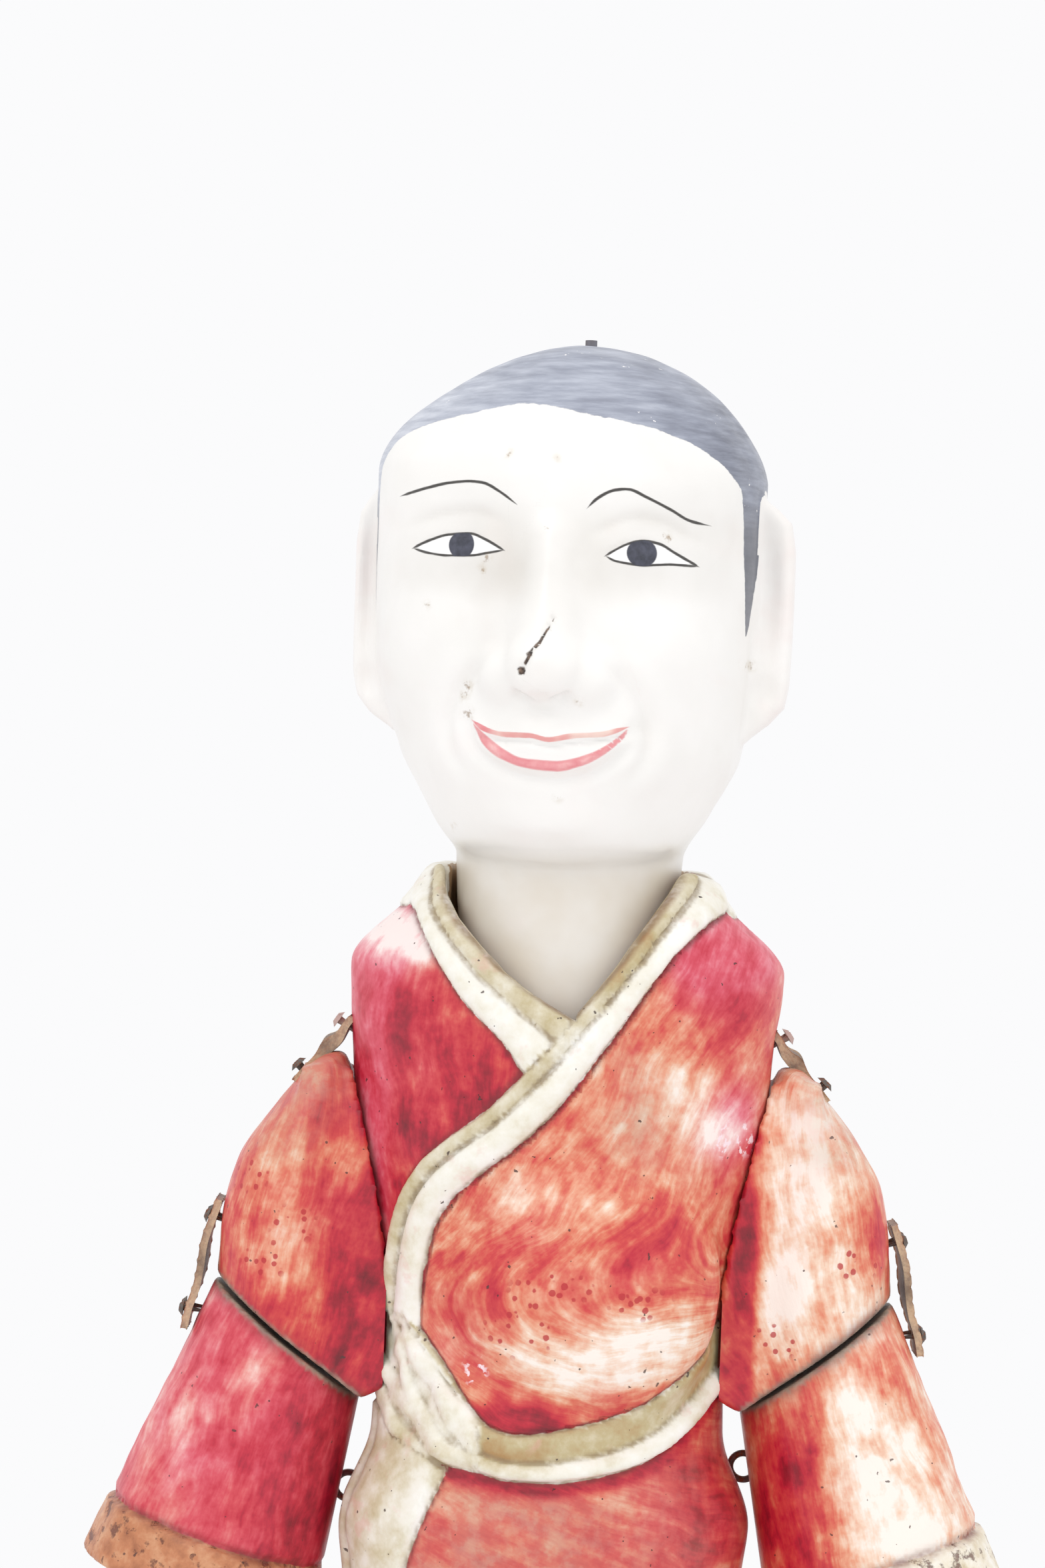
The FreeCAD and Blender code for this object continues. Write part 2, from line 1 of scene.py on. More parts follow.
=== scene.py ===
import math

import bpy
import numpy as np
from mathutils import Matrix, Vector


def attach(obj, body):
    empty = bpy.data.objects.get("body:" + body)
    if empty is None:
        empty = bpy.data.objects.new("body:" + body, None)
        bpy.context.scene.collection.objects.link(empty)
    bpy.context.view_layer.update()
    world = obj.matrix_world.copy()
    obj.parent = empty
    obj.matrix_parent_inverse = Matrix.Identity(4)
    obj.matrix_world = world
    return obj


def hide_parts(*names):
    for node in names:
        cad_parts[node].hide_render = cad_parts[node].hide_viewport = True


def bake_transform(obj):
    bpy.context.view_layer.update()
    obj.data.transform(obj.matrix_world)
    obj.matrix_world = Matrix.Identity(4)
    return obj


# A carved, lacquered wooden puppet. Shapes are worked in millimetres in the CAD's frame (the figure
# faces -Y, its own left is +X) and turned into metres when the mesh is made.

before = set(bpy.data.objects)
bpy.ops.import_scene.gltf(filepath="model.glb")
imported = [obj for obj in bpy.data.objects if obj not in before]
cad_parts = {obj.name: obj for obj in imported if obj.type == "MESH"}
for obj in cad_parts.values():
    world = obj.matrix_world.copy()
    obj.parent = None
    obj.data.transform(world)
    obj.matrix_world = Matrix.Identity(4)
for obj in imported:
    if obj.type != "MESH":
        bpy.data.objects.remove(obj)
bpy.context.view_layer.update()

MM = 0.001
SIDES = {"left": 1.0, "right": -1.0}
HEAD_TURN = math.radians(-9.0)


# ---------------------------------------------------------------- numbers along a curve


def follow(t, knots, values):
    """Smooth monotone interpolation of a table, flat beyond its ends."""
    k = np.asarray(knots, float)
    v = np.asarray(values, float)
    h = np.diff(k)
    d = np.diff(v) / h
    m = np.zeros_like(v)
    same = d[1:] * d[:-1] > 0
    m[1:-1][same] = 2 * d[1:][same] * d[:-1][same] / (d[1:][same] + d[:-1][same])
    m[0] = d[0]
    m[-1] = d[-1]
    t = np.clip(t, k[0], k[-1])
    i = np.clip(np.searchsorted(k, t) - 1, 0, len(k) - 2)
    s = (t - k[i]) / h[i]
    blend = s * s * (3 - 2 * s)
    lift = s * (1 - s) ** 2 * m[i] * h[i] - s * s * (1 - s) * m[i + 1] * h[i]
    return v[i] * (1 - blend) + v[i + 1] * blend + lift


def ease(x, low, high):
    t = np.clip((x - low) / (high - low), 0, 1)
    return t * t * (3 - 2 * t)


def hill(x, y, cx, cy, rx, ry):
    """A soft round hill of height 1."""
    return np.exp(-(((x - cx) / rx) ** 2) - ((y - cy) / ry) ** 2)


def join(a, b, k):
    """Union of two fields with a fillet of about k."""
    h = np.clip(0.5 + 0.5 * (b - a) / k, 0, 1)
    return b + (a - b) * h - k * h * (1 - h)


def carve(a, b, k):
    """Field a with field b taken away."""
    return -join(-a, b, k)


def ellipsoid(p, centre, radii):
    q = (p - np.asarray(centre)) / np.asarray(radii)
    k0 = np.sqrt((q * q).sum(1)) + 1e-9
    k1 = np.sqrt(((q / np.asarray(radii)) ** 2).sum(1)) + 1e-9
    return k0 * (k0 - 1) / k1


def capsule(p, a, b, ra, rb):
    """A round bar from a to b whose radius runs from ra to rb."""
    a = np.asarray(a, float)
    b = np.asarray(b, float)
    t = np.clip(((p - a) @ (b - a)) / ((b - a) @ (b - a)), 0, 1)
    gap = p - a - t[:, None] * (b - a)
    return np.sqrt((gap * gap).sum(1)) - (ra + (rb - ra) * t)


def uneven(p, wavelength, seed):
    """Gentle hand-carved unevenness, about -1 to 1."""
    rng = np.random.default_rng(seed)
    total = np.zeros(len(p))
    for _ in range(9):
        way = rng.normal(size=3)
        way *= rng.uniform(0.7, 1.5) * 2 * math.pi / (wavelength * np.linalg.norm(way))
        total += np.sin(p @ way + rng.uniform(0, 6.3))
    return total / 3.5


class Stroke:
    """A smooth curve through points in a plane: how far off it a point is, and how far along."""

    def __init__(self, points, steps=7):
        points = np.asarray(points, float)
        run = np.concatenate([[0], np.cumsum(np.hypot(*np.diff(points, axis=0).T))])
        fine = np.linspace(0, run[-1], steps * (len(points) - 1) + 1)
        self.line = np.stack([follow(fine, run, points[:, 0]), follow(fine, run, points[:, 1])], 1)
        self.step = np.hypot(*np.diff(self.line, axis=0).T)
        self.run = np.concatenate([[0], np.cumsum(self.step)])
        self.length = self.run[-1]

    def measure(self, u, v):
        """Signed distance (positive on the right of the way it runs) and run, past the ends too."""
        best = np.full(len(u), 1e18)
        off = np.zeros(len(u))
        along = np.zeros(len(u))
        last = len(self.step) - 1
        for i, length in enumerate(self.step):
            ax, ay = self.line[i]
            dx, dy = (self.line[i + 1] - self.line[i]) / length
            rx = u - ax
            ry = v - ay
            t = rx * dx + ry * dy
            low = -1e9 if i == 0 else 0.0
            high = 1e9 if i == last else length
            inside = np.clip(t, low, high)
            clamped = np.clip(t, 0, length)
            gap = (rx - clamped * dx) ** 2 + (ry - clamped * dy) ** 2
            near = gap < best
            best[near] = gap[near]
            side = np.sign(rx * dy - ry * dx)
            reach = np.hypot(rx - inside * dx, ry - inside * dy)
            off[near] = (side * reach)[near]
            along[near] = (self.run[i] + inside)[near]
        return off, along


def inside(points, u, v):
    """Distance inside a closed outline, negative outside it."""
    points = np.asarray(points, float)
    best = np.full(len(u), 1e18)
    odd = np.zeros(len(u), bool)
    for (ax, ay), (bx, by) in zip(points, np.roll(points, -1, axis=0)):
        dx, dy = bx - ax, by - ay
        t = np.clip(((u - ax) * dx + (v - ay) * dy) / (dx * dx + dy * dy + 1e-12), 0, 1)
        best = np.minimum(best, (u - ax - t * dx) ** 2 + (v - ay - t * dy) ** 2)
        if ay != by:
            odd ^= ((ay > v) != (by > v)) & (u < ax + (v - ay) * dx / dy)
    return np.where(odd, 1, -1) * np.sqrt(best)


# ---------------------------------------------------------------- a mesh from a field


def spaced(stops):
    """Grid lines from (start, spacing) pairs and a last end, finer where the work is finer."""
    lines = []
    for (start, gap), (end, _) in zip(stops[:-1], stops[1:]):
        count = max(1, int(round((end - start) / gap)))
        lines.append(start + (end - start) * np.arange(count) / count)
    lines.append(np.array([stops[-1][0]]))
    return np.concatenate(lines)


def skin(field, xs, ys, zs):
    """Points and quads of the surface where the field is nought: one point in each cell it cuts."""
    shape = (len(xs), len(ys), len(zs))
    grid = np.stack(np.meshgrid(xs, ys, zs, indexing="ij"), -1).reshape(-1, 3)
    values = np.concatenate([field(part) for part in np.array_split(grid, 24)]).reshape(shape)
    values = np.where(values == 0, 1e-6, values)
    solid = values < 0
    corners = [(i, j, k) for i in (0, 1) for j in (0, 1) for k in (0, 1)]

    def corner(array, c):
        return array[tuple(slice(o, n - 1 + o) for o, n in zip(c, shape))]

    count = sum(corner(solid, c).astype(int) for c in corners)
    active = (count > 0) & (count < 8)
    cells = np.argwhere(active)
    number = np.full(active.shape, -1)
    number[active] = np.arange(len(cells))
    lines = (xs, ys, zs)
    total = np.zeros((len(cells), 3))
    hits = np.zeros(len(cells))
    for a in corners:
        for axis in range(3):
            if a[axis]:
                continue
            b = tuple(1 if n == axis else o for n, o in enumerate(a))
            va = corner(values, a)[active]
            vb = corner(values, b)[active]
            crossed = (va < 0) != (vb < 0)
            share = np.where(crossed, va / np.where(crossed, va - vb, 1.0), 0)
            pa = np.stack([lines[n][cells[:, n] + a[n]] for n in range(3)], 1)
            pb = np.stack([lines[n][cells[:, n] + b[n]] for n in range(3)], 1)
            total += np.where(crossed[:, None], pa + share[:, None] * (pb - pa), 0)
            hits += crossed
    points = total / hits[:, None]
    quads = []
    for axis in range(3):
        b, c = (axis + 1) % 3, (axis + 2) % 3
        low = tuple(slice(0, -1) if n == axis else slice(None) for n in range(3))
        high = tuple(slice(1, None) if n == axis else slice(None) for n in range(3))
        where = np.argwhere(solid[low] != solid[high])
        kept = (where[:, b] > 0) & (where[:, c] > 0)
        kept &= (where[:, b] < shape[b] - 1) & (where[:, c] < shape[c] - 1)
        where = where[kept]
        ring = []
        for ob, oc in ((-1, -1), (0, -1), (0, 0), (-1, 0)):
            at = where.copy()
            at[:, b] += ob
            at[:, c] += oc
            ring.append(number[tuple(at.T)])
        ring = np.stack(ring, 1)
        outward = solid[tuple(where.T)]
        ring[~outward] = ring[~outward][:, ::-1]
        quads.append(ring)
    return points, np.concatenate(quads)


def slope(field, p, reach=0.15):
    g = np.zeros_like(p)
    for axis in range(3):
        step = np.zeros(3)
        step[axis] = reach
        g[:, axis] = (field(p + step) - field(p - step)) / (2 * reach)
    return g


def settle(field, p, rounds=3):
    """Points drawn onto the surface exactly."""
    for _ in range(rounds):
        g = slope(field, p)
        size = (g * g).sum(1) + 1e-6
        move = g * (field(p) / size)[:, None]
        reach = np.sqrt((move * move).sum(1))
        p = p - move * np.minimum(1, 0.6 / (reach + 1e-9))[:, None]
    return p


def keep_largest(points, quads):
    """The points and quads of the largest joined shell, so nothing loose is left."""
    label = np.arange(len(points))
    while True:
        low = label[quads].min(1)
        fresh = label.copy()
        np.minimum.at(fresh, quads.ravel(), np.repeat(low, 4))
        fresh = fresh[fresh]
        if (fresh == label).all():
            break
        label = fresh
    names, sizes = np.unique(label, return_counts=True)
    good = label == names[sizes.argmax()]
    index = np.cumsum(good) - 1
    return points[good], index[quads[good[quads[:, 0]]]]


def carved(form, xs, ys, zs, rounds=3):
    """A form's surface as points in millimetres and quads in one shell, with the way out at each point."""
    points, quads = keep_largest(*skin(form, spaced(xs), spaced(ys), spaced(zs)))
    points = settle(form, points, rounds)
    out = slope(form, points)
    return points, quads, out / (np.sqrt((out * out).sum(1))[:, None] + 1e-9)


def make_piece(name, points, faces, attributes):
    """A mesh object from points in millimetres, with named numbers on its points."""
    mesh = bpy.data.meshes.new(name)
    faces = np.asarray(faces)
    width = faces.shape[1]
    mesh.vertices.add(len(points))
    mesh.vertices.foreach_set("co", (np.asarray(points) * MM).astype(np.float32).ravel())
    mesh.loops.add(faces.size)
    mesh.loops.foreach_set("vertex_index", faces.astype(np.int32).ravel())
    mesh.polygons.add(len(faces))
    mesh.polygons.foreach_set("loop_start", np.arange(0, faces.size, width, dtype=np.int32))
    mesh.update(calc_edges=True)
    mesh.validate()
    mesh.polygons.foreach_set("use_smooth", np.full(len(faces), True))
    for label, values in attributes.items():
        layer = mesh.attributes.new(label, "FLOAT", "POINT")
        layer.data.foreach_set("value", np.asarray(values, np.float32))
    piece = bpy.data.objects.new(name, mesh)
    bpy.context.scene.collection.objects.link(piece)
    return piece


# ---------------------------------------------------------------- materials


def srgb(*rgb):
    """A colour given as 0-255 screen values, as the linear colour a shader takes."""
    c = np.array(rgb) / 255
    linear = np.where(c <= 0.04045, c / 12.92, ((c + 0.055) / 1.055) ** 2.4)
    return (*linear.tolist(), 1.0)


class Finish:
    """A material built up node by node. Numbers and sockets may be mixed freely as inputs."""

    def __init__(self, name):
        self.material = bpy.data.materials.new(name)
        self.material.use_nodes = True
        self.tree = self.material.node_tree
        self.shader = self.tree.nodes["Principled BSDF"]
        self.place = self.node("ShaderNodeTexCoord").outputs["Object"]

    def node(self, kind, settings=(), **inputs):
        item = self.tree.nodes.new(kind)
        for key, value in dict(settings).items():
            setattr(item, key, value)
        for key, value in inputs.items():
            self.put(item.inputs[key], value)
        return item

    def put(self, socket, value):
        """Links or sets an input. Three numbers are a screen colour."""
        if isinstance(value, bpy.types.NodeSocket):
            self.tree.links.new(value, socket)
        else:
            socket.default_value = srgb(*value) if isinstance(value, tuple) else value

    def value(self, name):
        return self.node("ShaderNodeAttribute", {"attribute_name": name}).outputs["Fac"]

    def sum(self, kind, a, b=0.0):
        item = self.node("ShaderNodeMath", {"operation": kind})
        for socket, value in zip(item.inputs, (a, b)):
            self.put(socket, value)
        return item.outputs[0]

    def add(self, a, b):
        return self.sum("ADD", a, b)

    def times(self, a, b):
        return self.sum("MULTIPLY", a, b)

    def swing(self, x, size):
        """A number from 0 to 1, such as noise, centred on nought and scaled."""
        return self.times(self.sum("SUBTRACT", x, 0.5), size)

    def rise(self, x, low, high, start=0.0, end=1.0):
        """start below low, end above high, smooth between."""
        item = self.node("ShaderNodeMapRange", {"interpolation_type": "SMOOTHSTEP"})
        keys = ("Value", "From Min", "From Max", "To Min", "To Max")
        for key, value in zip(keys, (x, low, high, start, end)):
            self.put(item.inputs[key], value)
        return item.outputs["Result"]

    def vector(self, x, y, z):
        return self.node("ShaderNodeCombineXYZ", X=x, Y=y, Z=z).outputs[0]

    def axis(self, letter):
        return self.node("ShaderNodeSeparateXYZ", Vector=self.place).outputs[letter]

    def reach(self, x, z):
        """Distance in metres, in the front view, from a spot given in millimetres."""
        dx = self.sum("SUBTRACT", self.axis("X"), x * MM)
        dz = self.sum("SUBTRACT", self.axis("Z"), z * MM)
        return self.sum("POWER", self.add(self.times(dx, dx), self.times(dz, dz)), 0.5)

    def noise(self, scale, detail=3.0, roughness=0.55, where=None, distortion=0.0):
        """Noise from 0 to 1; scale is in features per metre of the place it reads."""
        item = self.node("ShaderNodeTexNoise", Scale=scale, Detail=detail, Roughness=roughness)
        item.inputs["Distortion"].default_value = distortion
        self.put(item.inputs["Vector"], self.place if where is None else where)
        return item.outputs["Fac"]

    def streaks(self, across, along, scale, detail=4.0, drawn=0.14):
        """Brush streaks: noise drawn out along one of two numbers given in millimetres."""
        where = self.vector(self.times(across, scale), self.times(along, scale * drawn), 0.0)
        return self.noise(1.0, detail, 0.6, where)

    def grain(self, x, y, z, detail=4, roughness=0.6, distortion=0.0):
        """Noise drawn out along the axes, from its features per metre along each."""
        where = self.vector(*(self.times(self.axis(a), scale) for a, scale in zip("XYZ", (x, y, z))))
        return self.noise(1.0, detail, roughness, where, distortion)

    def mix(self, share, a, b):
        item = self.node("ShaderNodeMix", {"data_type": "RGBA"})
        self.put(item.inputs[0], share)
        self.put(item.inputs[6], a)
        self.put(item.inputs[7], b)
        return item.outputs[2]

    def ramp(self, x, stops):
        item = self.node("ShaderNodeValToRGB", Fac=x)
        bar = item.color_ramp
        while len(bar.elements) < len(stops):
            bar.elements.new(0.5)
        for element, (place, colour) in zip(bar.elements, stops):
            element.position = place
            element.color = srgb(*colour)
        return item.outputs["Color"]

    def bump(self, height, distance, strength):
        item = self.node("ShaderNodeBump", Height=height, Strength=strength, Distance=distance)
        return item.outputs["Normal"]

    def done(self, colour, roughness, normal=None, **constants):
        self.put(self.shader.inputs["Base Color"], colour)
        self.put(self.shader.inputs["Roughness"], roughness)
        if normal is not None:
            self.put(self.shader.inputs["Normal"], normal)
        for key, value in constants.items():
            self.shader.inputs[key.replace("_", " ")].default_value = value
        return self.material


def dress(piece, material):
    """The piece has this material and no other."""
    piece.data.materials.clear()
    piece.data.materials.append(material)


def stand_for(piece, body, node, material):
    """The piece rides on a body, in place of a CAD node."""
    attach(piece, body)
    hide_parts(node)
    dress(piece, material)


# ---------------------------------------------------------------- camera


CAMERA_PLACE = (-0.0102, -0.9, 0.3588)
CAMERA_LEAN = math.radians(-2.2)
CAMERA_LENS = 102.3


def add_camera():
    """A level front view, leaning as the photograph does."""
    data = bpy.data.cameras.new("camera")
    camera = bpy.data.objects.new("camera", data)
    bpy.context.scene.collection.objects.link(camera)
    camera.location = CAMERA_PLACE
    camera.rotation_euler = (math.radians(90), CAMERA_LEAN, 0)
    data.sensor_fit = "VERTICAL"
    data.sensor_height = 36.0
    data.lens = CAMERA_LENS
    data.clip_start = 0.01
    data.clip_end = 20.0
    bpy.context.scene.camera = camera


add_camera()


# ---------------------------------------------------------------- head

HEAD_Z = [343.0, 347.0, 355.0, 366.0, 385.0, 403.0, 421.0]
HEAD_WIDE = [17.0, 23.0, 28.8, 33.8, 35.8, 36.4, 36.8]
HEAD_DEEP = [20.0, 27.0, 34.0, 39.5, 43.0, 45.0, 43.5]
HEAD_MIDDLE = [-9.0, -7.0, -4.0, -2.0, 0.0, 0.5, 1.0]
CROWN_FROM = 421.0
CROWN_HEIGHT = 26.5
NECK_FOOT = 299.6
CHIN_Z = 343.3
EAR_OUTLINE = [
    (30.0, 418.0), (37.0, 417.6), (39.8, 415.6), (42.6, 412.8), (43.6, 407.0), (43.5, 392.0),
    (43.2, 380.5), (42.4, 375.8), (39.4, 372.4), (35.0, 369.0), (30.0, 369.0),
]

BROW_RIGHT = [
    (-32.8, 414.4), (-26.2, 415.9), (-21.5, 416.8), (-17.1, 417.1), (-14.0, 416.8), (-10.6, 415.2),
    (-6.5, 412.4),
]
BROW_LEFT = [
    (6.6, 412.0), (8.8, 414.3), (12.0, 416.0), (14.4, 416.3), (17.8, 415.0), (22.2, 412.9), (25.6, 411.1),
    (29.4, 410.5),
]
LID_RIGHT_UP = [(-29.0, 404.2), (-25.3, 405.7), (-21.0, 406.8), (-16.5, 407.0), (-13.2, 405.9), (-9.2, 403.8)]
LID_RIGHT_LOW = [
    (-29.0, 404.2), (-25.2, 403.2), (-20.9, 402.7), (-16.1, 402.7), (-12.6, 403.2), (-9.2, 403.8),
]
LID_LEFT_UP = [
    (10.6, 403.3), (12.7, 404.7), (14.9, 405.9), (17.5, 406.6), (20.3, 406.2), (23.0, 404.7), (27.2, 402.4),
]
LID_LEFT_LOW = [
    (10.6, 403.3), (12.5, 402.4), (15.1, 402.0), (17.3, 401.8), (20.1, 402.1), (23.2, 402.4),
    (27.2, 402.4),
]
IRIS = [(-18.1, 404.8, 2.75), (17.3, 404.2, 2.75)]
LIP_TOP = [
    (-14.6, 370.9), (-10.9, 368.9), (-7.2, 368.2), (-2.3, 368.2), (1.2, 367.5), (5.9, 368.4), (11.1, 368.9),
    (16.4, 370.7),
]
LIP_OUTER = [
    (-14.6, 370.9), (-11.7, 366.0), (-7.7, 363.3), (-2.7, 361.8), (2.8, 361.4), (7.6, 362.6), (12.0, 365.1),
    (15.0, 368.0), (16.4, 370.7),
]
LIP_INNER = [
    (16.4, 370.7), (12.2, 366.9), (8.0, 364.7), (2.7, 363.5), (-3.5, 363.8), (-7.8, 365.6), (-11.2, 367.9),
    (-14.6, 370.9),
]
NOSE_CRACK = [
    (2.4, 391.6), (1.6, 389.4), (0.6, 387.6), (-0.2, 385.9), (-1.5, 384.3), (-2.4, 382.3), (-3.5, 380.4),
]
CRACK_PITS = [(-3.4, 380.4, 0.75), (-1.9, 383.6, 0.55)]
FOLD = [(11.8, 383.0), (14.6, 379.5), (17.6, 375.3), (19.6, 370.0), (18.8, 364.5), (15.5, 359.8)]
# Round the head (degrees from the front, height): where the painted hair ends, behind each ear and
# then across the front from the figure's right to its left.
HAIR_BEHIND = [
    (180.0, 360.0), (150.0, 361.0), (125.0, 366.0), (110.0, 378.0), (104.0, 394.0), (101.0, 410.0),
    (95.0, 419.0), (88.0, 419.5), (84.5, 413.0), (83.0, 406.0), (80.5, 397.0),
]
HAIR_FRONT = [
    (-76.5, 391.5), (-73.5, 402.0), (-71.0, 411.0), (-68.0, 418.0), (-63.0, 422.5), (-56.0, 426.8),
    (-46.0, 429.2), (-36.0, 430.6), (-24.4, 432.0), (-13.4, 432.8), (-3.0, 432.4), (6.0, 431.2),
    (15.0, 430.4), (25.0, 429.5), (34.0, 428.4), (44.0, 426.6), (53.0, 424.0), (60.0, 421.0),
    (66.5, 417.5), (70.0, 411.0), (72.5, 402.0), (76.5, 389.5),
]
HAIRLINE = [(-a, h) for a, h in HAIR_BEHIND] + HAIR_FRONT + HAIR_BEHIND[::-1]
# The face's hills and hollows: rise, place across, height, half width and half height. The first lot
# is alike on both sides of its middle: eyeball, socket, brow, side of the nose's root and cheek.
FACE_MIDDLE = 0.3
FACE_PAIRS = [
    (1.5, 18.0, 404.6, 11.5, 5.6), (-2.3, 16.0, 404.0, 16.0, 11.0), (1.3, 17.0, 417.0, 15.0, 5.0),
    (-0.7, 7.4, 403.0, 3.6, 6.5), (1.9, 22.0, 386.0, 10.5, 9.5),
]
# Mouth, chin, the dent over the lip, the mouth's corners, the crack's pit and a swell on each lid.
FACE_HILLS = [
    (2.3, 0.6, 367.0, 17.0, 8.5), (2.0, 0.6, 352.5, 10.0, 6.5), (-0.8, 0.2, 373.0, 2.0, 2.6),
    (-0.8, -15.8, 370.8, 1.8, 1.8), (-0.8, 17.6, 370.4, 1.8, 1.8), (-0.5, -3.4, 380.3, 0.9, 0.9),
    (0.35, 18.1, 404.4, 3.6, 3.0), (0.35, -18.1, 404.4, 3.6, 3.0),
]
# Along each line: where it fades in, where it fades out, and (rise, place beside it, width) of its ridges.
LID_EDGE = (-1.0, 3.0), (-17.5, -13.0), [(-0.45, 0.0, 0.5)]
LID_CREASE = (-2.0, 5.0), (-20.0, -12.0), [(-0.55, -4.6, 1.0)]
FACE_LINES = [
    (LID_LEFT_UP, *LID_EDGE), (LID_LEFT_UP, *LID_CREASE),
    (LID_RIGHT_UP, *LID_EDGE), (LID_RIGHT_UP, *LID_CREASE),
    (LIP_TOP, (-0.5, 3.0), (-32.3, -28.5), [(0.55, -0.5, 0.9), (-0.75, 1.1, 0.65)]),
    (LIP_OUTER, (-0.5, 3.5), (-37.0, -33.0), [(0.85, -1.2, 1.25), (-0.95, 1.5, 1.2)]),
    (NOSE_CRACK, (-0.5, 1.0), (-13.6, -12.0), [(-0.55, 0.0, 0.45)]),
]
STAINS = [
    (-12.6, 402.3, 0.5), (-13.3, 399.9, 0.7), (-15.8, 377.3, 0.9), (-16.5, 375.6, 0.6),
    (-15.6, 372.0, 0.9), (21.5, 407.5, 0.7), (-0.4, 408.3, 0.3), (-9.0, 422.5, 0.5), (0.6, 421.8, 0.35),
    (35.6, 384.0, 0.5), (3.0, 356.5, 0.35), (-20.0, 350.0, 0.4), (-25.0, 393.0, 0.3), (7.0, 375.0, 0.3),
]


def head_middle(z):
    return follow(z, HEAD_Z, HEAD_MIDDLE)


def skull(p):
    x, y, z = p.T
    wide = follow(z, HEAD_Z, HEAD_WIDE)
    deep = follow(z, HEAD_Z, HEAD_DEEP)
    crown = np.clip((z - CROWN_FROM) / CROWN_HEIGHT, 0, None) ** 1.55
    reach = np.sqrt((x / wide) ** 2 + ((y - head_middle(z)) / deep) ** 2 + crown)
    return carve((reach - 1) * wide * 0.9, z - CHIN_Z, 5.0)


def ear(p):
    x, y, z = p.T
    across = np.abs(x)
    flat = -inside(EAR_OUTLINE, across, z)
    middle = -2.4 + 0.10 * (across - 38)
    slab = -join(-flat, -(np.abs(y - middle) - 2.7), 2.4)
    q = p.copy()
    q[:, 0] = across
    bowl = ellipsoid(q, (38.6, -6.6, 397.0), (3.0, 2.7, 15.0))
    lobe = ellipsoid(q, (38.8, -6.4, 379.0), (3.2, 2.2, 4.0))
    return carve(carve(slab, bowl, 1.2), lobe, 1.2)


def nose(p):
    shape = capsule(p, (0, -41.0, 406.0), (0, -44.2, 382.5), 3.4, 6.4)
    shape = join(shape, ellipsoid(p, (0, -44.0, 381.2), (7.2, 6.8, 5.8)), 3.0)
    for sign in (-1, 1):
        shape = join(shape, ellipsoid(p, (sign * 7.4, -41.0, 379.6), (4.6, 4.6, 4.4)), 2.4)
        shape = carve(shape, ellipsoid(p, (sign * 4.0, -45.0, 374.6), (2.2, 2.6, 2.4)), 1.2)
    return shape


def evened(p):
    """Points moved in on the head's right side, which the carver left a little fuller than its left."""
    x, y, z = p.T
    fuller = 4.8 * ease(-x, 14.0, 36.0) - 2.7 * ease(-x, 40.0, 47.0)
    q = p.copy()
    q[:, 0] = x + fuller * ease(z, 358.0, 384.0) * ease(-z, -447.0, -424.0)
    return q


def head_form(p):
    p = evened(p)
    x, y, z = p.T
    neck_radius = 21.0 + (z - NECK_FOOT) * 0.042
    neck = np.maximum(np.hypot(x, y) - neck_radius, z - 356.0)
    shape = join(skull(p), neck, 3.0)
    shape = join(shape, nose(p), 4.0)
    near = np.abs(x) > 29
    part = np.full(len(p), 50.0)
    if near.any():
        part[near] = ear(p[near])
    shape = join(shape, part, 1.6)
    return np.maximum(shape, NECK_FOOT - z)


def ridge(x, z, line, first, last, shapes):
    """Rounded ridges and grooves beside a line, fading in over one stretch of it and out over another."""
    off, run = Stroke(line).measure(x, z)
    along = ease(run, *first) * ease(-run, *last)
    return sum(rise * np.exp(-(((off - place) / width) ** 2)) * along for rise, place, width in shapes)


def face_relief(x, z):
    """How far the carving stands out of the face, seen from the front."""
    both = np.abs(x - FACE_MIDDLE)
    h = sum(rise * hill(both, z, *form) for rise, *form in FACE_PAIRS)
    h += sum(rise * hill(x, z, *form) for rise, *form in FACE_HILLS)
    for line, first, last, shapes in FACE_LINES:
        h += ridge(x, z, line, first, last, shapes)
    for flip in (1, -1):
        h += ridge(flip * x, z, FOLD, (-2.0, 4.0), (-29.0, -18.0), [(-1.05, 0.0, 1.5), (0.4, -3.2, 2.4)])
    return h


def round_the_head(x, y, z):
    """Degrees from the front, positive on the figure's left."""
    wide = follow(z, HEAD_Z, HEAD_WIDE)
    deep = follow(z, HEAD_Z, HEAD_DEEP)
    return np.degrees(np.arctan2(x / wide, (head_middle(z) - y) / deep))


def lines_of(pairs, x, z):
    """Distance off, and along, the nearest of several separate painted lines."""
    off = np.full(len(x), 99.0)
    share = np.full(len(x), -9.0)
    for points in pairs:
        stroke = Stroke(points)
        d, run = stroke.measure(x, z)
        near = (run > -0.12 * stroke.length) & (run < 1.12 * stroke.length)
        closer = near & (np.abs(d) < np.abs(off))
        off[closer] = d[closer]
        share[closer] = (run / stroke.length)[closer]
    return off, share


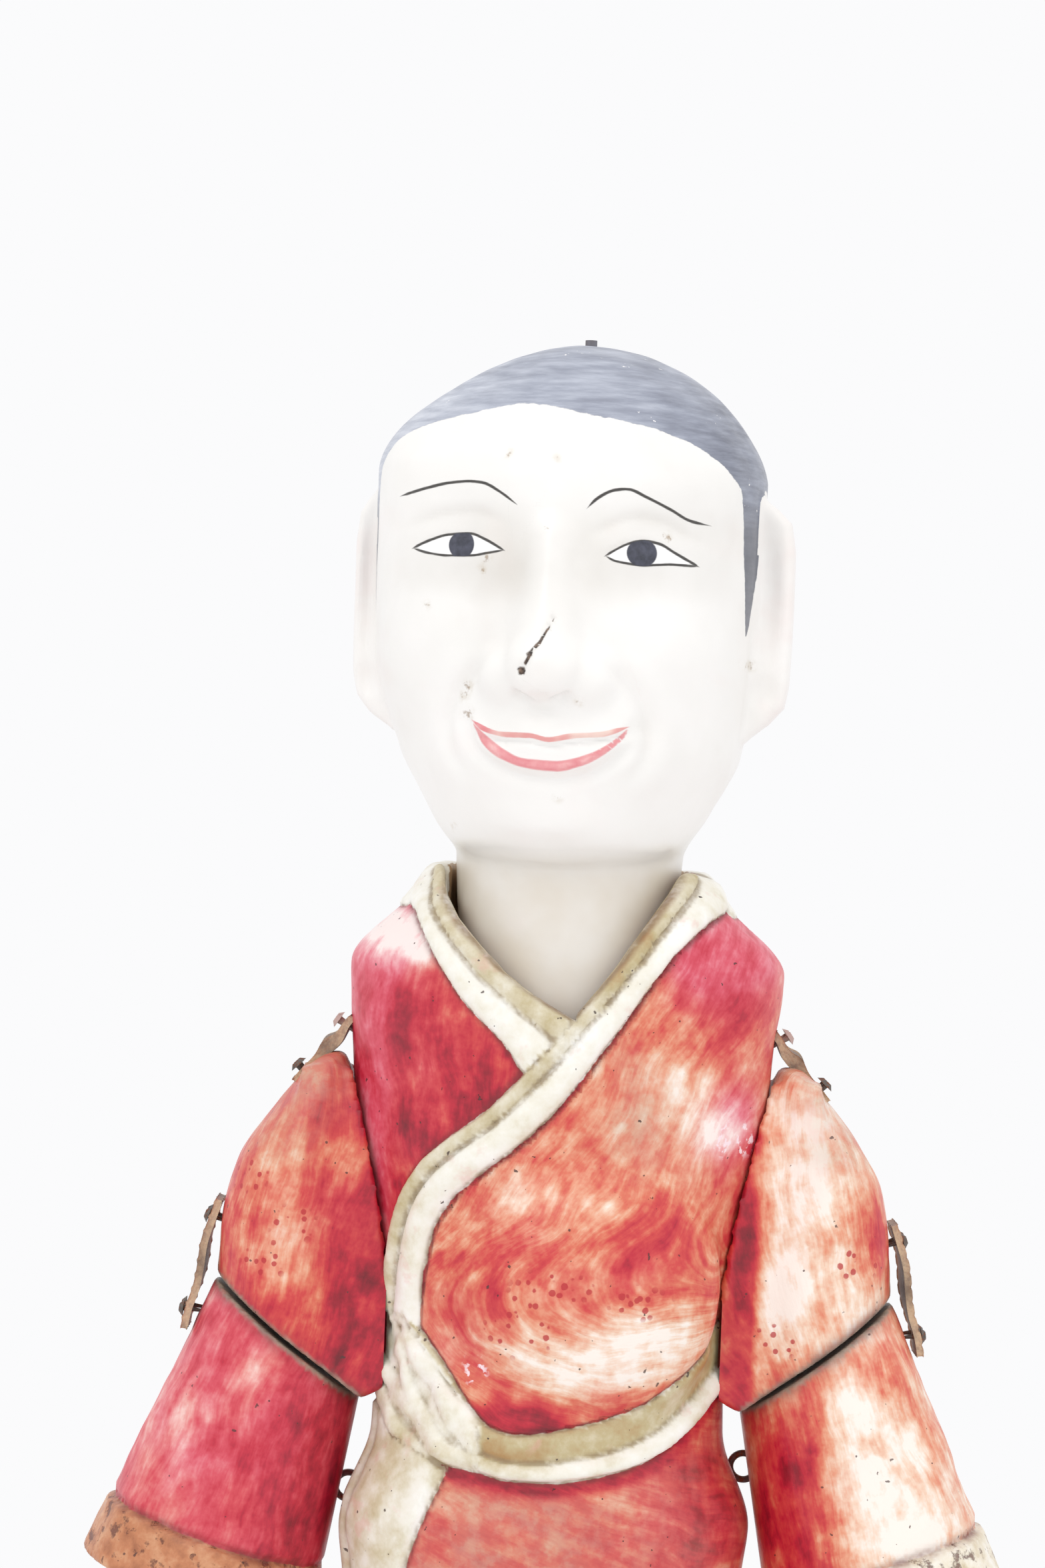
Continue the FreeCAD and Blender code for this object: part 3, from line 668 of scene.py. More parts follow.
def build_head():
    xs = [(-50, 0.73), (47, 0)]
    ys = [(-56, 0.72), (4, 1.2), (50, 0)]
    zs = [(298.2, 1.3), (341, 0.72), (425, 1.0), (451, 0)]
    points, quads, out = carved(head_form, xs, ys, zs)
    x, y, z = points.T
    facing = ease(-out[:, 1], 0.05, 0.45) * ease(-y, 8.0, 20.0) * ease(z, 344.0, 352.0)
    relief = face_relief(x, z) * facing
    whittled = 0.16 * uneven(points, 21.0, 4) + 0.05 * uneven(points, 7.0, 5)
    ear_zone = ease(np.abs(x), 33.0, 36.0)
    points = points + out * (relief + whittled * (1 - 0.6 * ear_zone))[:, None]
    points[:, 2] = np.maximum(points[:, 2], NECK_FOOT)
    x, y, z = points.T

    even = evened(points)
    turn = round_the_head(even[:, 0], y, z)
    per_degree = 0.66
    line = Stroke([(a * per_degree, h) for a, h in HAIRLINE], 4).line.tolist()
    outline = line + [[125.0, 360.0], [125.0, 520.0], [-125.0, 520.0], [-125.0, 360.0]]
    hair = inside(outline, turn * per_degree, z)
    on_ear = ear(even) < 0.6
    hair = np.where(on_ear & (z < 418.5), -2.0, hair)
    front = y < -4.0
    far = np.where(front, 0.0, 60.0)
    brow, brow_run = lines_of([BROW_LEFT, BROW_RIGHT], x, z)
    lid_up, up_run = lines_of([LID_LEFT_UP, LID_RIGHT_UP], x, z)
    lid_low, low_run = lines_of([LID_LEFT_LOW, LID_RIGHT_LOW], x, z)
    eyes = (LID_LEFT_UP, LID_LEFT_LOW), (LID_RIGHT_UP, LID_RIGHT_LOW)
    white = np.maximum(*(inside(upper + lower[::-1][1:-1], x, z) for upper, lower in eyes))
    lip_top, lip_run = lines_of([LIP_TOP], x, z)
    lip = inside(Stroke(LIP_OUTER, 4).line.tolist() + Stroke(LIP_INNER, 4).line.tolist()[1:-1], x, z)
    crack, crack_run = lines_of([NOSE_CRACK], x, z)
    stain = np.full(len(x), 9.0)
    for sx, sz, radius in STAINS:
        stain = np.minimum(stain, np.hypot(x - sx, z - sz) - radius)
    # How deep each point lies in the face's carved hollows; the paint is darkened there as painted shade.
    valley = np.clip(-relief, 0, 1.5) * facing
    # The neck under the chin, where the paint is darkened: partly the neck's warmer tone, partly painted
    # shade cast by the chin.
    under_chin = ease(-z, -346.0, -340.0)
    values = {
        "hair": hair,
        "brow": brow + far,
        "brow_run": brow_run,
        "lid_up": lid_up + far,
        "lid_up_run": up_run,
        "lid_low": lid_low + far,
        "lid_low_run": low_run,
        "eye_white": white - far,
        "lip_top": lip_top + far,
        "lip_top_run": lip_run,
        "lip": lip - far,
        "crack": crack + far,
        "crack_run": crack_run,
        "stain": stain + far,
        "valley": valley,
        "neck": under_chin,
        "ear": np.where(on_ear, 1.0, 0.0) * ease(np.abs(even[:, 0]), 34, 40),
    }
    piece = make_piece("head_carving", points, quads, values)
    piece.rotation_euler = (0, 0, HEAD_TURN)
    stand_for(piece, "head", "head", head_finish())


def painted_line(f, name, run_name, half, ends, wobble):
    """1 on a painted line whose half width tapers at its ends, 0 off it."""
    off = f.value(name)
    run = f.value(run_name)
    taper = f.times(f.rise(run, ends[0], ends[1]), f.rise(run, ends[3], ends[2]))
    width = f.add(f.times(taper, half), f.swing(wobble, half * 0.7))
    live = f.rise(taper, 0.02, 0.12)
    return f.times(f.rise(f.sum("SUBTRACT", width, f.sum("ABSOLUTE", off)), -0.10, 0.14), live)


def head_finish():
    f = Finish("painted_white_lacquer")
    broad = f.noise(45, 3)
    fine = f.noise(420, 4)
    speck = f.noise(900, 2)
    x = f.axis("X")
    z = f.axis("Z")
    colour = f.ramp(broad, [(0.25, (246, 244, 241)), (0.6, (241, 239, 235)), (0.85, (235, 231, 226))])
    blush = f.noise(70, 2, where=f.vector(x, 0.0, z))
    colour = f.mix(f.times(f.rise(blush, 0.56, 0.74), 0.14), colour, (243, 226, 220))
    # Painted shade: the face's carved hollows darkened to grey-beige.
    colour = f.mix(f.times(f.value("valley"), f.rise(broad, 0.2, 0.8, 0.14, 0.32)), colour, (204, 198, 188))
    # Partly the neck's warmer beige tone, partly painted shade under the chin.
    neck_tone_and_shade = f.times(f.value("neck"), f.rise(f.noise(60, 3), 0.3, 0.7, 0.35, 0.8))
    colour = f.mix(neck_tone_and_shade, colour, (226, 217, 203))
    rim = f.times(f.value("ear"), f.rise(f.noise(110, 2), 0.42, 0.7, 0.05, 0.30))
    colour = f.mix(rim, colour, (238, 218, 214))
    colour = f.mix(f.rise(f.value("eye_white"), -0.1, 0.25), colour, (253, 252, 251))

    wobble = f.noise(330, 3)
    ink = (66, 63, 60)
    for name, half, ends in (
        ("brow", 0.30, (-0.01, 0.10, 0.88, 1.01)),
        ("lid_up", 0.28, (-0.03, 0.06, 0.95, 1.03)),
        ("lid_low", 0.26, (-0.02, 0.08, 0.92, 1.03)),
    ):
        colour = f.mix(painted_line(f, name, name + "_run", half, ends, wobble), colour, ink)
    iris = 0.0
    for cx, cz, radius in IRIS:
        reach = f.reach(cx, cz)
        iris = f.add(iris, f.rise(reach, (radius + 0.12) * MM, (radius - 0.15) * MM))
    iris = f.times(iris, f.rise(f.value("eye_white"), -0.30, 0.0))
    dark = f.ramp(f.noise(600, 3), [(0.3, (44, 46, 58)), (0.75, (78, 80, 96))])
    colour = f.mix(iris, colour, dark)

    lip_noise = f.noise(260, 4)
    patchy = f.noise(120, 2)
    lip_pink = f.ramp(lip_noise, [(0.3, (228, 140, 146)), (0.5, (236, 166, 168)), (0.75, (244, 204, 200))])
    salmon = f.mix(f.rise(patchy, 0.44, 0.60), (240, 206, 194), (228, 146, 142))
    corner = f.rise(f.value("lip_top_run"), 0.26, 0.10)
    salmon = f.mix(corner, salmon, (224, 118, 124))
    upper_lip = painted_line(f, "lip_top", "lip_top_run", 0.50, (-0.02, 0.10, 0.90, 1.02), lip_noise)
    colour = f.mix(f.times(upper_lip, f.rise(patchy, 0.28, 0.42, 0.35, 0.9)), colour, salmon)
    lip = f.value("lip")
    lip_edge = f.add(lip, f.swing(lip_noise, 0.5))
    colour = f.mix(f.rise(lip_edge, -0.15, 0.25), colour, lip_pink)
    rim = f.times(f.rise(lip, -0.1, 0.15), f.rise(lip, 0.85, 0.35))
    colour = f.mix(f.times(rim, 0.35), colour, (220, 118, 124))

    crack_noise = f.noise(1500, 3)
    crack = painted_line(f, "crack", "crack_run", 0.34, (-0.03, 0.55, 0.97, 1.04), crack_noise)
    crack = f.times(crack, f.rise(f.noise(520, 2), 0.36, 0.46))
    crack_brown = f.ramp(crack_noise, [(0.4, (46, 32, 24)), (0.62, (128, 104, 86))])
    for cx, cz, radius in CRACK_PITS:
        reach = f.add(f.reach(cx, cz), f.swing(crack_noise, 0.0009))
        pit = f.rise(reach, (radius + 0.2) * MM, (radius - 0.2) * MM)
        crack = f.sum("MAXIMUM", crack, f.times(pit, f.rise(f.axis("Y"), -0.030, -0.034)))
    colour = f.mix(crack, colour, crack_brown)
    stain = f.add(f.value("stain"), f.swing(f.noise(1100, 3), 3.2))
    colour = f.mix(f.rise(stain, 0.1, -0.9, 0.0, 0.8), colour, (146, 118, 88))
    halo = f.times(f.rise(f.value("stain"), 1.4, -0.2), f.rise(fine, 0.45, 0.65, 0.0, 0.3))
    colour = f.mix(halo, colour, (190, 172, 140))

    height = f.times(z, 1000.0)
    brush = f.grain(95.0, 95.0, 750.0)
    slate = f.add(f.times(brush, 0.62), f.add(0.19, f.times(x, 5.2)))
    slate = f.add(slate, f.swing(f.noise(36, 2), 0.40))
    hair_colour = f.ramp(
        slate,
        [(0.26, (204, 208, 218)), (0.42, (176, 181, 194)), (0.58, (146, 151, 166)), (0.80, (108, 112, 126))],
    )
    chip = f.rise(f.times(f.rise(speck, 0.62, 0.74), f.rise(f.noise(85, 2), 0.54, 0.70)), 0.25, 0.6)
    hair_colour = f.mix(chip, hair_colour, (240, 238, 236))
    hair = f.value("hair")
    edge = f.add(hair, f.swing(f.noise(520, 3), 0.9))
    hair_mask = f.rise(edge, -0.12, 0.16)
    colour = f.mix(hair_mask, colour, hair_colour)
    low_side = f.times(f.times(hair_mask, f.rise(height, 419.0, 408.0)), f.rise(f.axis("Y"), 0.002, -0.006))
    colour = f.mix(f.times(low_side, 0.75), colour, (98, 100, 108))

    depth = f.add(f.times(fine, 0.35), f.times(broad, 0.8))
    depth = f.add(depth, f.times(f.times(hair_mask, brush), 0.6))
    depth = f.sum("SUBTRACT", depth, f.times(crack, 1.5))
    normal = f.bump(depth, 0.00022, 0.6)
    rough = f.rise(f.noise(130, 3), 0.3, 0.75, 0.30, 0.46)
    rough = f.add(rough, f.times(hair_mask, 0.08))
    return f.done(colour, rough, normal, Coat_Weight=0.18, Coat_Roughness=0.2)



# ---------------------------------------------------------------- robe

ROBE_Z = [18.0, 60.0, 110.0, 160.0, 198.0, 211.0, 230.0, 248.0, 279.0, 290.0, 306.0, 322.0, 336.0, 342.5]
ROBE_WIDE = [52.0, 48.0, 43.5, 41.0, 39.8, 41.0, 35.2, 34.8, 39.2, 41.2, 42.4, 43.4, 31.5, 27.0]
ROBE_DEEP = [46.0, 42.5, 38.5, 36.0, 34.5, 34.5, 33.0, 31.0, 31.0, 30.5, 30.0, 29.0, 27.8, 26.6]
POUCH_CENTRE = (5.0, -19.0, 260.0)
POUCH_RADII = (27.0, 19.0, 31.0)
ROUND_MM = 0.663  # millimetres round the robe to the degree
ROBE_FOOT = 18.0
HEM_TOP = 31.5
COLLAR_RING = 333.5
COLLAR_TOP = 342.4
NECK_SOCKET_RADIUS = 23.8
NECK_SOCKET_FLOOR = 298.0
POLE_BORE_RADIUS = 12.05
POLE_BORE_TOP = 46.05

# Seen from the front, in millimetres: the carved bands and outlines of the robe.
OVER_INNER = [
    (22.9, 343.7), (19.4, 337.8), (14.2, 330.4), (10.0, 324.0), (6.5, 319.4), (2.2, 314.0), (-2.9, 307.4),
    (-8.0, 301.8), (-13.2, 296.1), (-20.2, 290.2), (-26.4, 284.3), (-29.8, 278.5), (-31.7, 272.0),
    (-32.4, 265.5), (-32.9, 258.2), (-33.0, 250.0),
]
OVER_OUTER = [
    (32.5, 340.0), (30.5, 337.1), (27.0, 332.5), (20.8, 326.4), (16.4, 320.6), (13.0, 315.1),
    (7.9, 307.8), (2.8, 300.4), (-2.4, 293.9), (-8.4, 287.8), (-15.4, 282.0), (-20.6, 276.7),
    (-23.6, 271.0), (-24.9, 264.6), (-25.6, 258.0), (-26.1, 248.0),
]
UNDER_INNER = [
    (-25.2, 344.0), (-24.9, 340.5), (-24.3, 336.0), (-21.8, 331.6), (-17.1, 326.5), (-12.4, 321.8),
    (-7.8, 318.4), (-3.2, 315.6), (2.3, 312.6), (9.0, 309.0),
]
UNDER_OUTER = [
    (-32.5, 340.5), (-31.2, 337.0), (-29.6, 332.1), (-26.1, 325.1), (-21.3, 317.2), (-16.5, 312.1),
    (-11.9, 307.9), (-8.1, 302.7), (-3.0, 297.0),
]
SASH_UPPER = [
    (-27.0, 252.0), (-23.1, 247.6), (-19.3, 242.5), (-15.5, 237.0), (-11.7, 233.3), (-6.3, 232.1),
    (1.8, 233.4), (10.7, 235.6), (17.8, 238.6), (24.0, 243.0), (29.4, 248.2), (33.0, 253.5),
]
SASH_LOWER = [
    (-22.0, 226.5), (-15.0, 224.6), (-8.6, 223.1), (0.4, 223.0), (9.3, 224.3), (18.3, 226.9),
    (27.2, 232.9), (33.0, 239.5),
]
SASH_UPPER_BACK = [(72.0, 256.5), (95.0, 257.5), (125.0, 257.0)]
SASH_LOWER_BACK = [(72.0, 243.5), (95.0, 244.5), (125.0, 244.0)]
KNOT = [
    (-33.2, 253.5), (-34.2, 250.0), (-34.6, 244.0), (-33.9, 236.1), (-30.0, 228.2), (-22.3, 225.4),
    (-13.2, 224.0), (-12.6, 229.0), (-13.6, 234.9), (-19.3, 241.6), (-25.9, 249.5), (-28.0, 253.5),
]
KNOT_FOLDS = [
    ([(-33.4, 251.0), (-33.2, 243.0), (-31.6, 234.0), (-27.0, 227.6)], 3.2, 1.5),
    ([(-30.5, 250.0), (-28.0, 243.5), (-26.6, 237.0), (-22.0, 230.0)], 2.6, 1.1),
    ([(-26.5, 248.0), (-22.0, 241.0), (-18.6, 236.0), (-15.0, 231.5)], 3.0, 1.4),
    ([(-24.0, 231.5), (-19.5, 227.6), (-14.0, 227.0)], 2.4, 1.2),
]
TAIL = [
    (-34.0, 236.0), (-37.0, 226.0), (-39.6, 214.0), (-39.2, 200.0), (-39.8, 170.0), (-39.0, 139.0),
    (-27.5, 133.0), (-27.2, 150.0), (-27.6, 180.0), (-27.4, 202.0), (-24.0, 214.0), (-19.5, 224.0),
    (-26.0, 230.0),
]
# Paint in the front view: place across, height, half width and half height of a spot, and how much it
# lifts the paint's tone (or its dots). On the flap, on the panel of the figure's right, and the dots.
FLAP_SPOTS = [
    (8.0, 246.0, 17.0, 8.5, 0.50), (20.0, 252.0, 8.0, 8.0, 0.30), (-7.0, 278.0, 7.0, 5.0, 0.28),
    (22.0, 305.0, 7.0, 11.0, 0.26), (12.0, 290.0, 6.0, 12.0, 0.12), (-12.0, 262.0, 6.0, 9.0, -0.10),
    (31.0, 292.0, 5.0, 4.0, 0.42), (-5.0, 234.5, 12.0, 3.6, -0.62), (16.0, 238.0, 12.0, 3.0, -0.25),
    (30.0, 326.0, 10.0, 8.0, -0.12), (36.0, 314.0, 5.0, 5.0, -0.30), (20.0, 272.0, 8.0, 10.0, -0.08),
    (-20.0, 254.0, 4.0, 10.0, -0.12), (6.0, 300.0, 5.0, 6.0, 0.10),
]
PANEL_SPOTS = [(-37, 331, 9, 7, 0.55), (-29.0, 326.0, 4.5, 6.0, 0.75), (-18, 312, 6, 9, 0.18)]
DOTTED_SPOTS = [(-6.4, 253.0, 8.0, 6.0, 1.0), (17.0, 259.0, 7.0, 4.0, 0.8), (0.0, 262.0, 9.0, 4.0, 0.8)]
# Round the robe and height: a line inside the sash and knot, where the paint's brushing changes.
SASH_MIDDLE = [
    (-125.0, 250.5), (-95.0, 250.0), (-72.0, 249.0), (-51.0, 244.0), (-30.0, 238.0), (-20.0, 233.0),
    (0.0, 227.5), (12.0, 229.0), (22.0, 232.0), (35.0, 241.0), (47.0, 247.0), (72.0, 250.0),
    (125.0, 250.5),
]
NECK_NOTCH = UNDER_INNER[:-1] + [(2.2, 314.0)] + OVER_INNER[:5][::-1] + [(23.0, 372.0), (-25.4, 372.0)]


def robe_sizes(z):
    return follow(z, ROBE_Z, ROBE_WIDE), follow(z, ROBE_Z, ROBE_DEEP)


def robe_base(p):
    x, y, z = p.T
    wide, deep = robe_sizes(z)
    shape = (np.hypot(x / wide, y / deep) - 1) * np.minimum(wide, deep)
    return join(shape, ellipsoid(p, POUCH_CENTRE, POUCH_RADII), 1.6)


def round_robe(x, y, z):
    """Millimetres round the robe from its front, positive on the figure's left."""
    wide, deep = robe_sizes(z)
    return np.degrees(np.arctan2(x / wide, -y / deep)) * ROUND_MM


def wrapped(points):
    """Points seen from the front, as (millimetres round the robe, height)."""
    points = np.asarray(points, float)
    result = []
    depths = np.linspace(-60.0, 0.0, 241)
    for x, z in points:
        wide = float(robe_sizes(np.array([z]))[0][0])
        x = float(np.clip(x, -0.995 * wide, 0.995 * wide))
        ray = np.stack([np.full_like(depths, x), depths, np.full_like(depths, z)], 1)
        hit = depths[np.argmax(robe_base(ray) < 0)]
        result.append([float(round_robe(np.array([x]), np.array([hit]), np.array([z]))[0]), z])
    return result


class Band:
    """A strip between two lines laid on the robe: how far inside it a point is, and where across it."""

    def __init__(self, upper, lower):
        self.upper = Stroke(upper, 4)
        self.lower = Stroke(lower, 4)
        self.outline = self.upper.line.tolist() + self.lower.line.tolist()[::-1]

    def measure(self, u, v):
        """Distance inside, and place across from -1 at the first line to 1 at the second."""
        first, second = (np.abs(line.measure(u, v)[0]) for line in (self.upper, self.lower))
        return inside(self.outline, u, v), (first - second) / (first + second + 1e-6)


def roll(t, start, end):
    """The round profile of a carved cord or fold between two places across a band."""
    return np.clip(1 - ((t - (start + end) / 2) / ((end - start) / 2)) ** 2, 0, 1) ** 0.75


over_band = Band(wrapped(OVER_INNER), wrapped(OVER_OUTER))
under_band = Band(wrapped(UNDER_INNER), wrapped(UNDER_OUTER))
sash_front = wrapped(SASH_UPPER), wrapped(SASH_LOWER)
sash_band = Band(sash_front[0] + SASH_UPPER_BACK, sash_front[1] + SASH_LOWER_BACK)
sash_rear = Band(
    [(-125.0, 257.0), (-95.0, 256.5), (-72.0, 255.0), (-52.0, 252.5)],
    [(-125.0, 244.0), (-95.0, 243.0), (-72.0, 241.0), (-50.0, 236.0)],
)
knot_outline = wrapped(KNOT)
tail_outline = wrapped(TAIL)
flap_outline = (
    Stroke(wrapped(OVER_OUTER[1:-1])).line.tolist()
    + Stroke(wrapped(SASH_UPPER)).line.tolist()
    + [[62.0, 256.0], [60.0, 300.0], [60.0, 325.0]]
)


def within_belt(low, high, u, z):
    """Distance inside a level belt all round the robe."""
    return inside([(-130, low), (130, low), (130, high), (-130, high)], u, z)


def robe_relief(u, z):
    """How far the carving stands out of the robe's plain form."""
    h = np.zeros_like(u)
    skirt = ease(-z, -222.0, -150.0)
    flutes = np.abs(np.cos(u * 0.079 + 0.35 * np.sin(z / 41.0) + z * 0.004 + 0.4))
    h += skirt * (flutes - 0.6) * (1.2 + 1.9 * ease(-z, -150, -30))
    slack = np.exp(-(((u * 0.9 + (z - 222) * 0.55 - 6) / 3.2) ** 2))
    slack += np.exp(-(((u + (z - 222) * 0.25 - 27) / 3.0) ** 2))
    h -= 0.5 * slack * ease(-z, -224.0, -212.0) * ease(z, 150.0, 190.0)
    h += 0.7 * ease(within_belt(12.0, HEM_TOP, u, z), -0.4, 0.8)

    flap = inside(flap_outline, u, z)
    h += 0.5 * ease(flap, -0.5, 1.5)
    pleat = np.exp(-(((u - 20) * 0.7 + (z - 322) * 0.45) / 2.4) ** 2) * hill(u, z, 24, 314, 16, 16)
    h -= 0.5 * pleat

    for band in (sash_rear, sash_band):
        within, t = band.measure(u, z)
        strip = 0.7 + 1.5 * roll(t, 0.22, 1.05) + 0.5 * roll(t, -1.05, 0.12)
        h = np.where(within > 0, strip * ease(within, 0, 0.9), h)

    tail = inside(tail_outline, u, z)
    furrow = np.exp(-(((u + 46.5 + (z - 180) * 0.02) / 1.5) ** 2))
    h = np.where(tail > 0, 1.6 * ease(tail, 0, 1.4) - 0.9 * furrow * ease(tail, 0, 3), h)

    under_in, under_t = under_band.measure(u, z)
    piping = 1.25 * roll(under_t, -1.0, -0.22) + 1.45 * roll(under_t, -0.22, 1.0)
    h = np.where(under_in > 0, 0.15 + piping * ease(under_in, 0, 0.5), h)

    over_in, over_t = over_band.measure(u, z)
    piping = 1.5 * roll(over_t, -1.0, -0.30) + 1.8 * roll(over_t, -0.30, 1.0)
    h = np.where(over_in > 0, 0.45 + piping * ease(over_in, 0, 0.5), h)

    back = ease(np.abs(u), 46.0, 52.0)
    h = np.maximum(h, 1.1 * ease(within_belt(COLLAR_RING, 350.0, u, z), 0, 0.9) * back)

    knot = inside(knot_outline, u, z)
    lump = np.zeros_like(u)
    for points, reach, rise in KNOT_FOLDS:
        off, run = Stroke(wrapped(points), 3).measure(u, z)
        swell = rise * (0.8 + 0.2 * np.sin(run * 0.55 + rise * 9))
        lump = np.maximum(lump, swell * roll(off / (reach * (0.85 + 0.15 * np.sin(run * 0.4))), -1.0, 1.0))
    wrinkled = np.stack([u, z, 0.4 * u], 1)
    body = 1.0 + lump + 0.28 * uneven(wrinkled, 7.5, 15) + 0.30 * uneven(wrinkled, 16.0, 16)
    body -= 0.8 * np.exp(-(((z - 250.6) / 1.3) ** 2))
    tied = np.maximum(h * (1 - ease(knot, 0, 1.6)), body * ease(knot, -0.4, 1.8))
    h = np.where(knot > 0, tied, h)

    tight = ease(np.abs(np.abs(u) - 59.7), 3.0, 11.0)
    beside_arm = ease(z, 192.0, 200.0) * ease(-z, -318.0, -308.0)
    return h * (1 - beside_arm * (1 - tight))


class ReliefMap:
    """The robe's relief worked out once on a grid, then read quickly anywhere."""

    def __init__(self, step=0.4):
        self.step = step
        self.us = np.arange(-121.0, 121.0 + step, step)
        self.zs = np.arange(12.0, 348.0, step)
        grid = np.stack(np.meshgrid(self.us, self.zs, indexing="ij"), -1).reshape(-1, 2)
        self.height = robe_relief(grid[:, 0], grid[:, 1]).reshape(len(self.us), len(self.zs))
        soft = self.height.copy()
        for _ in range(14):
            soft[1:-1] = (soft[:-2] + 2 * soft[1:-1] + soft[2:]) / 4
            soft[:, 1:-1] = (soft[:, :-2] + 2 * soft[:, 1:-1] + soft[:, 2:]) / 4
        # How far each place lies below its softened surroundings: the carving's hollows, which the paint
        # darkens as painted shade.
        self.valley = np.clip(soft - self.height, 0, 1)

    def read(self, table, u, z):
        i = np.clip((u - self.us[0]) / self.step, 0, len(self.us) - 1.001)
        j = np.clip((z - self.zs[0]) / self.step, 0, len(self.zs) - 1.001)
        a, b = i.astype(int), j.astype(int)
        s, t = i - a, j - b
        low = table[a, b] * (1 - t) + table[a, b + 1] * t
        high = table[a + 1, b] * (1 - t) + table[a + 1, b + 1] * t
        return low * (1 - s) + high * s


def build_robe():
    relief = ReliefMap()

    def form(p):
        x, y, z = p.T
        shape = robe_base(p) - relief.read(relief.height, round_robe(x, y, z), z)
        socket = np.maximum(np.hypot(x, y) - NECK_SOCKET_RADIUS, NECK_SOCKET_FLOOR - z)
        notch = np.full(len(p), 50.0)
        near = (z > 300) & (y < 8)
        if near.any():
            notch[near] = np.maximum(-inside(NECK_NOTCH, x[near], z[near]), y[near] + 3.0)
        shape = carve(shape, notch, 0.9)
        shape = carve(shape, socket, 0.9)
        shape = carve(shape, COLLAR_TOP - z, 1.6)
        pole = np.maximum(np.hypot(x, y) - POLE_BORE_RADIUS, z - POLE_BORE_TOP)
        shape = carve(shape, pole, 0.3)
        return np.maximum(shape, ROBE_FOOT - z)

    xs = [(-55, 1.1), (-36, 0.94), (36, 1.1), (55, 0)]
    ys = [(-50, 1.0), (-8, 1.3), (50, 0)]
    zs = [(15.4, 1.95), (196, 0.95), (345, 0)]
    points, quads, out = carved(form, xs, ys, zs, 2)
    outer = ease(np.hypot(points[:, 0], points[:, 1]), 24.5, 26.5) * ease(points[:, 2], 18.5, 20.0)
    tight = np.abs(points[:, 1]) < 9
    dents = 0.20 * uneven(points, 24.0, 11) + 0.09 * uneven(points, 8.0, 12)
    points = points + out * (dents * outer * np.where(tight, 0.3, 1.0))[:, None]
    x, y, z = points.T
    u = round_robe(x, y, z)

    over_in, over_t = over_band.measure(u, z)
    under_in, under_t = under_band.measure(u, z)
    sash_in, sash_t = sash_band.measure(u, z)
    rear_in, rear_t = sash_rear.measure(u, z)
    knot = inside(knot_outline, u, z)
    tail = inside(tail_outline, u, z)
    ring = np.where(np.abs(u) > 48, z - COLLAR_RING, -9.0)
    hem = HEM_TOP - z
    cream = np.maximum.reduce([over_in, under_in, sash_in, rear_in, knot, tail, ring, hem])
    strip = np.where(over_in > 0, ease(-over_t, 0.22, 0.38), ease(-under_t, 0.12, 0.28) * (under_in > 0))
    age = 0.25 + 0.27 * strip
    sash_strip = np.where(sash_in > 0, ease(-sash_t, -0.28, -0.12), ease(-rear_t, -0.28, -0.12))
    age = np.where((sash_in > 0) | (rear_in > 0), 0.33 + 0.33 * sash_strip, age)
    age += 0.34 * hill(x, z, 13.5, 331.0, 7.0, 8.0) * ease(-over_t, -0.1, 0.3)
    age += 0.16 * hill(x, z, 28.0, 246.0, 9.0, 7.0) * sash_strip
    age += 0.22 * hill(x, z, -8.0, 228.0, 7.0, 3.0)
    age = np.where(tail > 0, 0.46 - 0.30 * hill(x, z, -24.5, 213.0, 3.0, 12.0), age)
    age = np.where(knot > 0, 0.42 - 0.14 * hill(x, z, -20.0, 236.0, 7.0, 8.0), age)
    age = np.where(hem > 0, 0.55, age)

    flap = inside(flap_outline, u, z)
    on_front = y < 0
    tone = np.full(len(x), 0.34)
    pink = np.full(len(x), 0.22)
    panel = on_front & (flap <= 0) & (z > 240)
    tone = np.where(panel, 0.17 + 0.24 * ease(-x, 31, 38), tone)
    pink = np.where(panel, 0.35 + 0.5 * ease(-x, 31, 38), pink)
    for *spot, lift in PANEL_SPOTS:
        tone += lift * hill(x, z, *spot) * panel
    pink += 0.8 * hill(x, z, -38, 331, 10, 9)
    on_flap = on_front & (flap > 0)
    tone = np.where(on_flap, 0.46, tone)
    for *spot, lift in FLAP_SPOTS:
        tone += lift * hill(x, z, *spot) * on_flap
    pink += (0.85 * hill(x, z, 31, 327, 12, 11) + 0.5 * hill(x, z, 34, 292, 7, 9)) * on_flap
    low = z < np.interp(u, *zip(*SASH_MIDDLE))
    skirt = low * ease(-y, -16.0, 16.0)
    tone = np.where(low, 0.34 + 0.04 * skirt, tone)
    pink = np.where(low, 0.22 + 0.05 * skirt, pink)
    tone -= 0.22 * hill(x, z, 30, 215, 9, 16) * skirt
    below_sash = -sash_in
    # Painted shadow: the skirt's paint darkened in a band just under the sash's lower edge.
    tone -= 0.40 * np.exp(-(((below_sash - 1.3) / 1.6) ** 2)) * skirt * (u > -22)
    tone = tone + 0.05 * uneven(points, 40.0, 21)
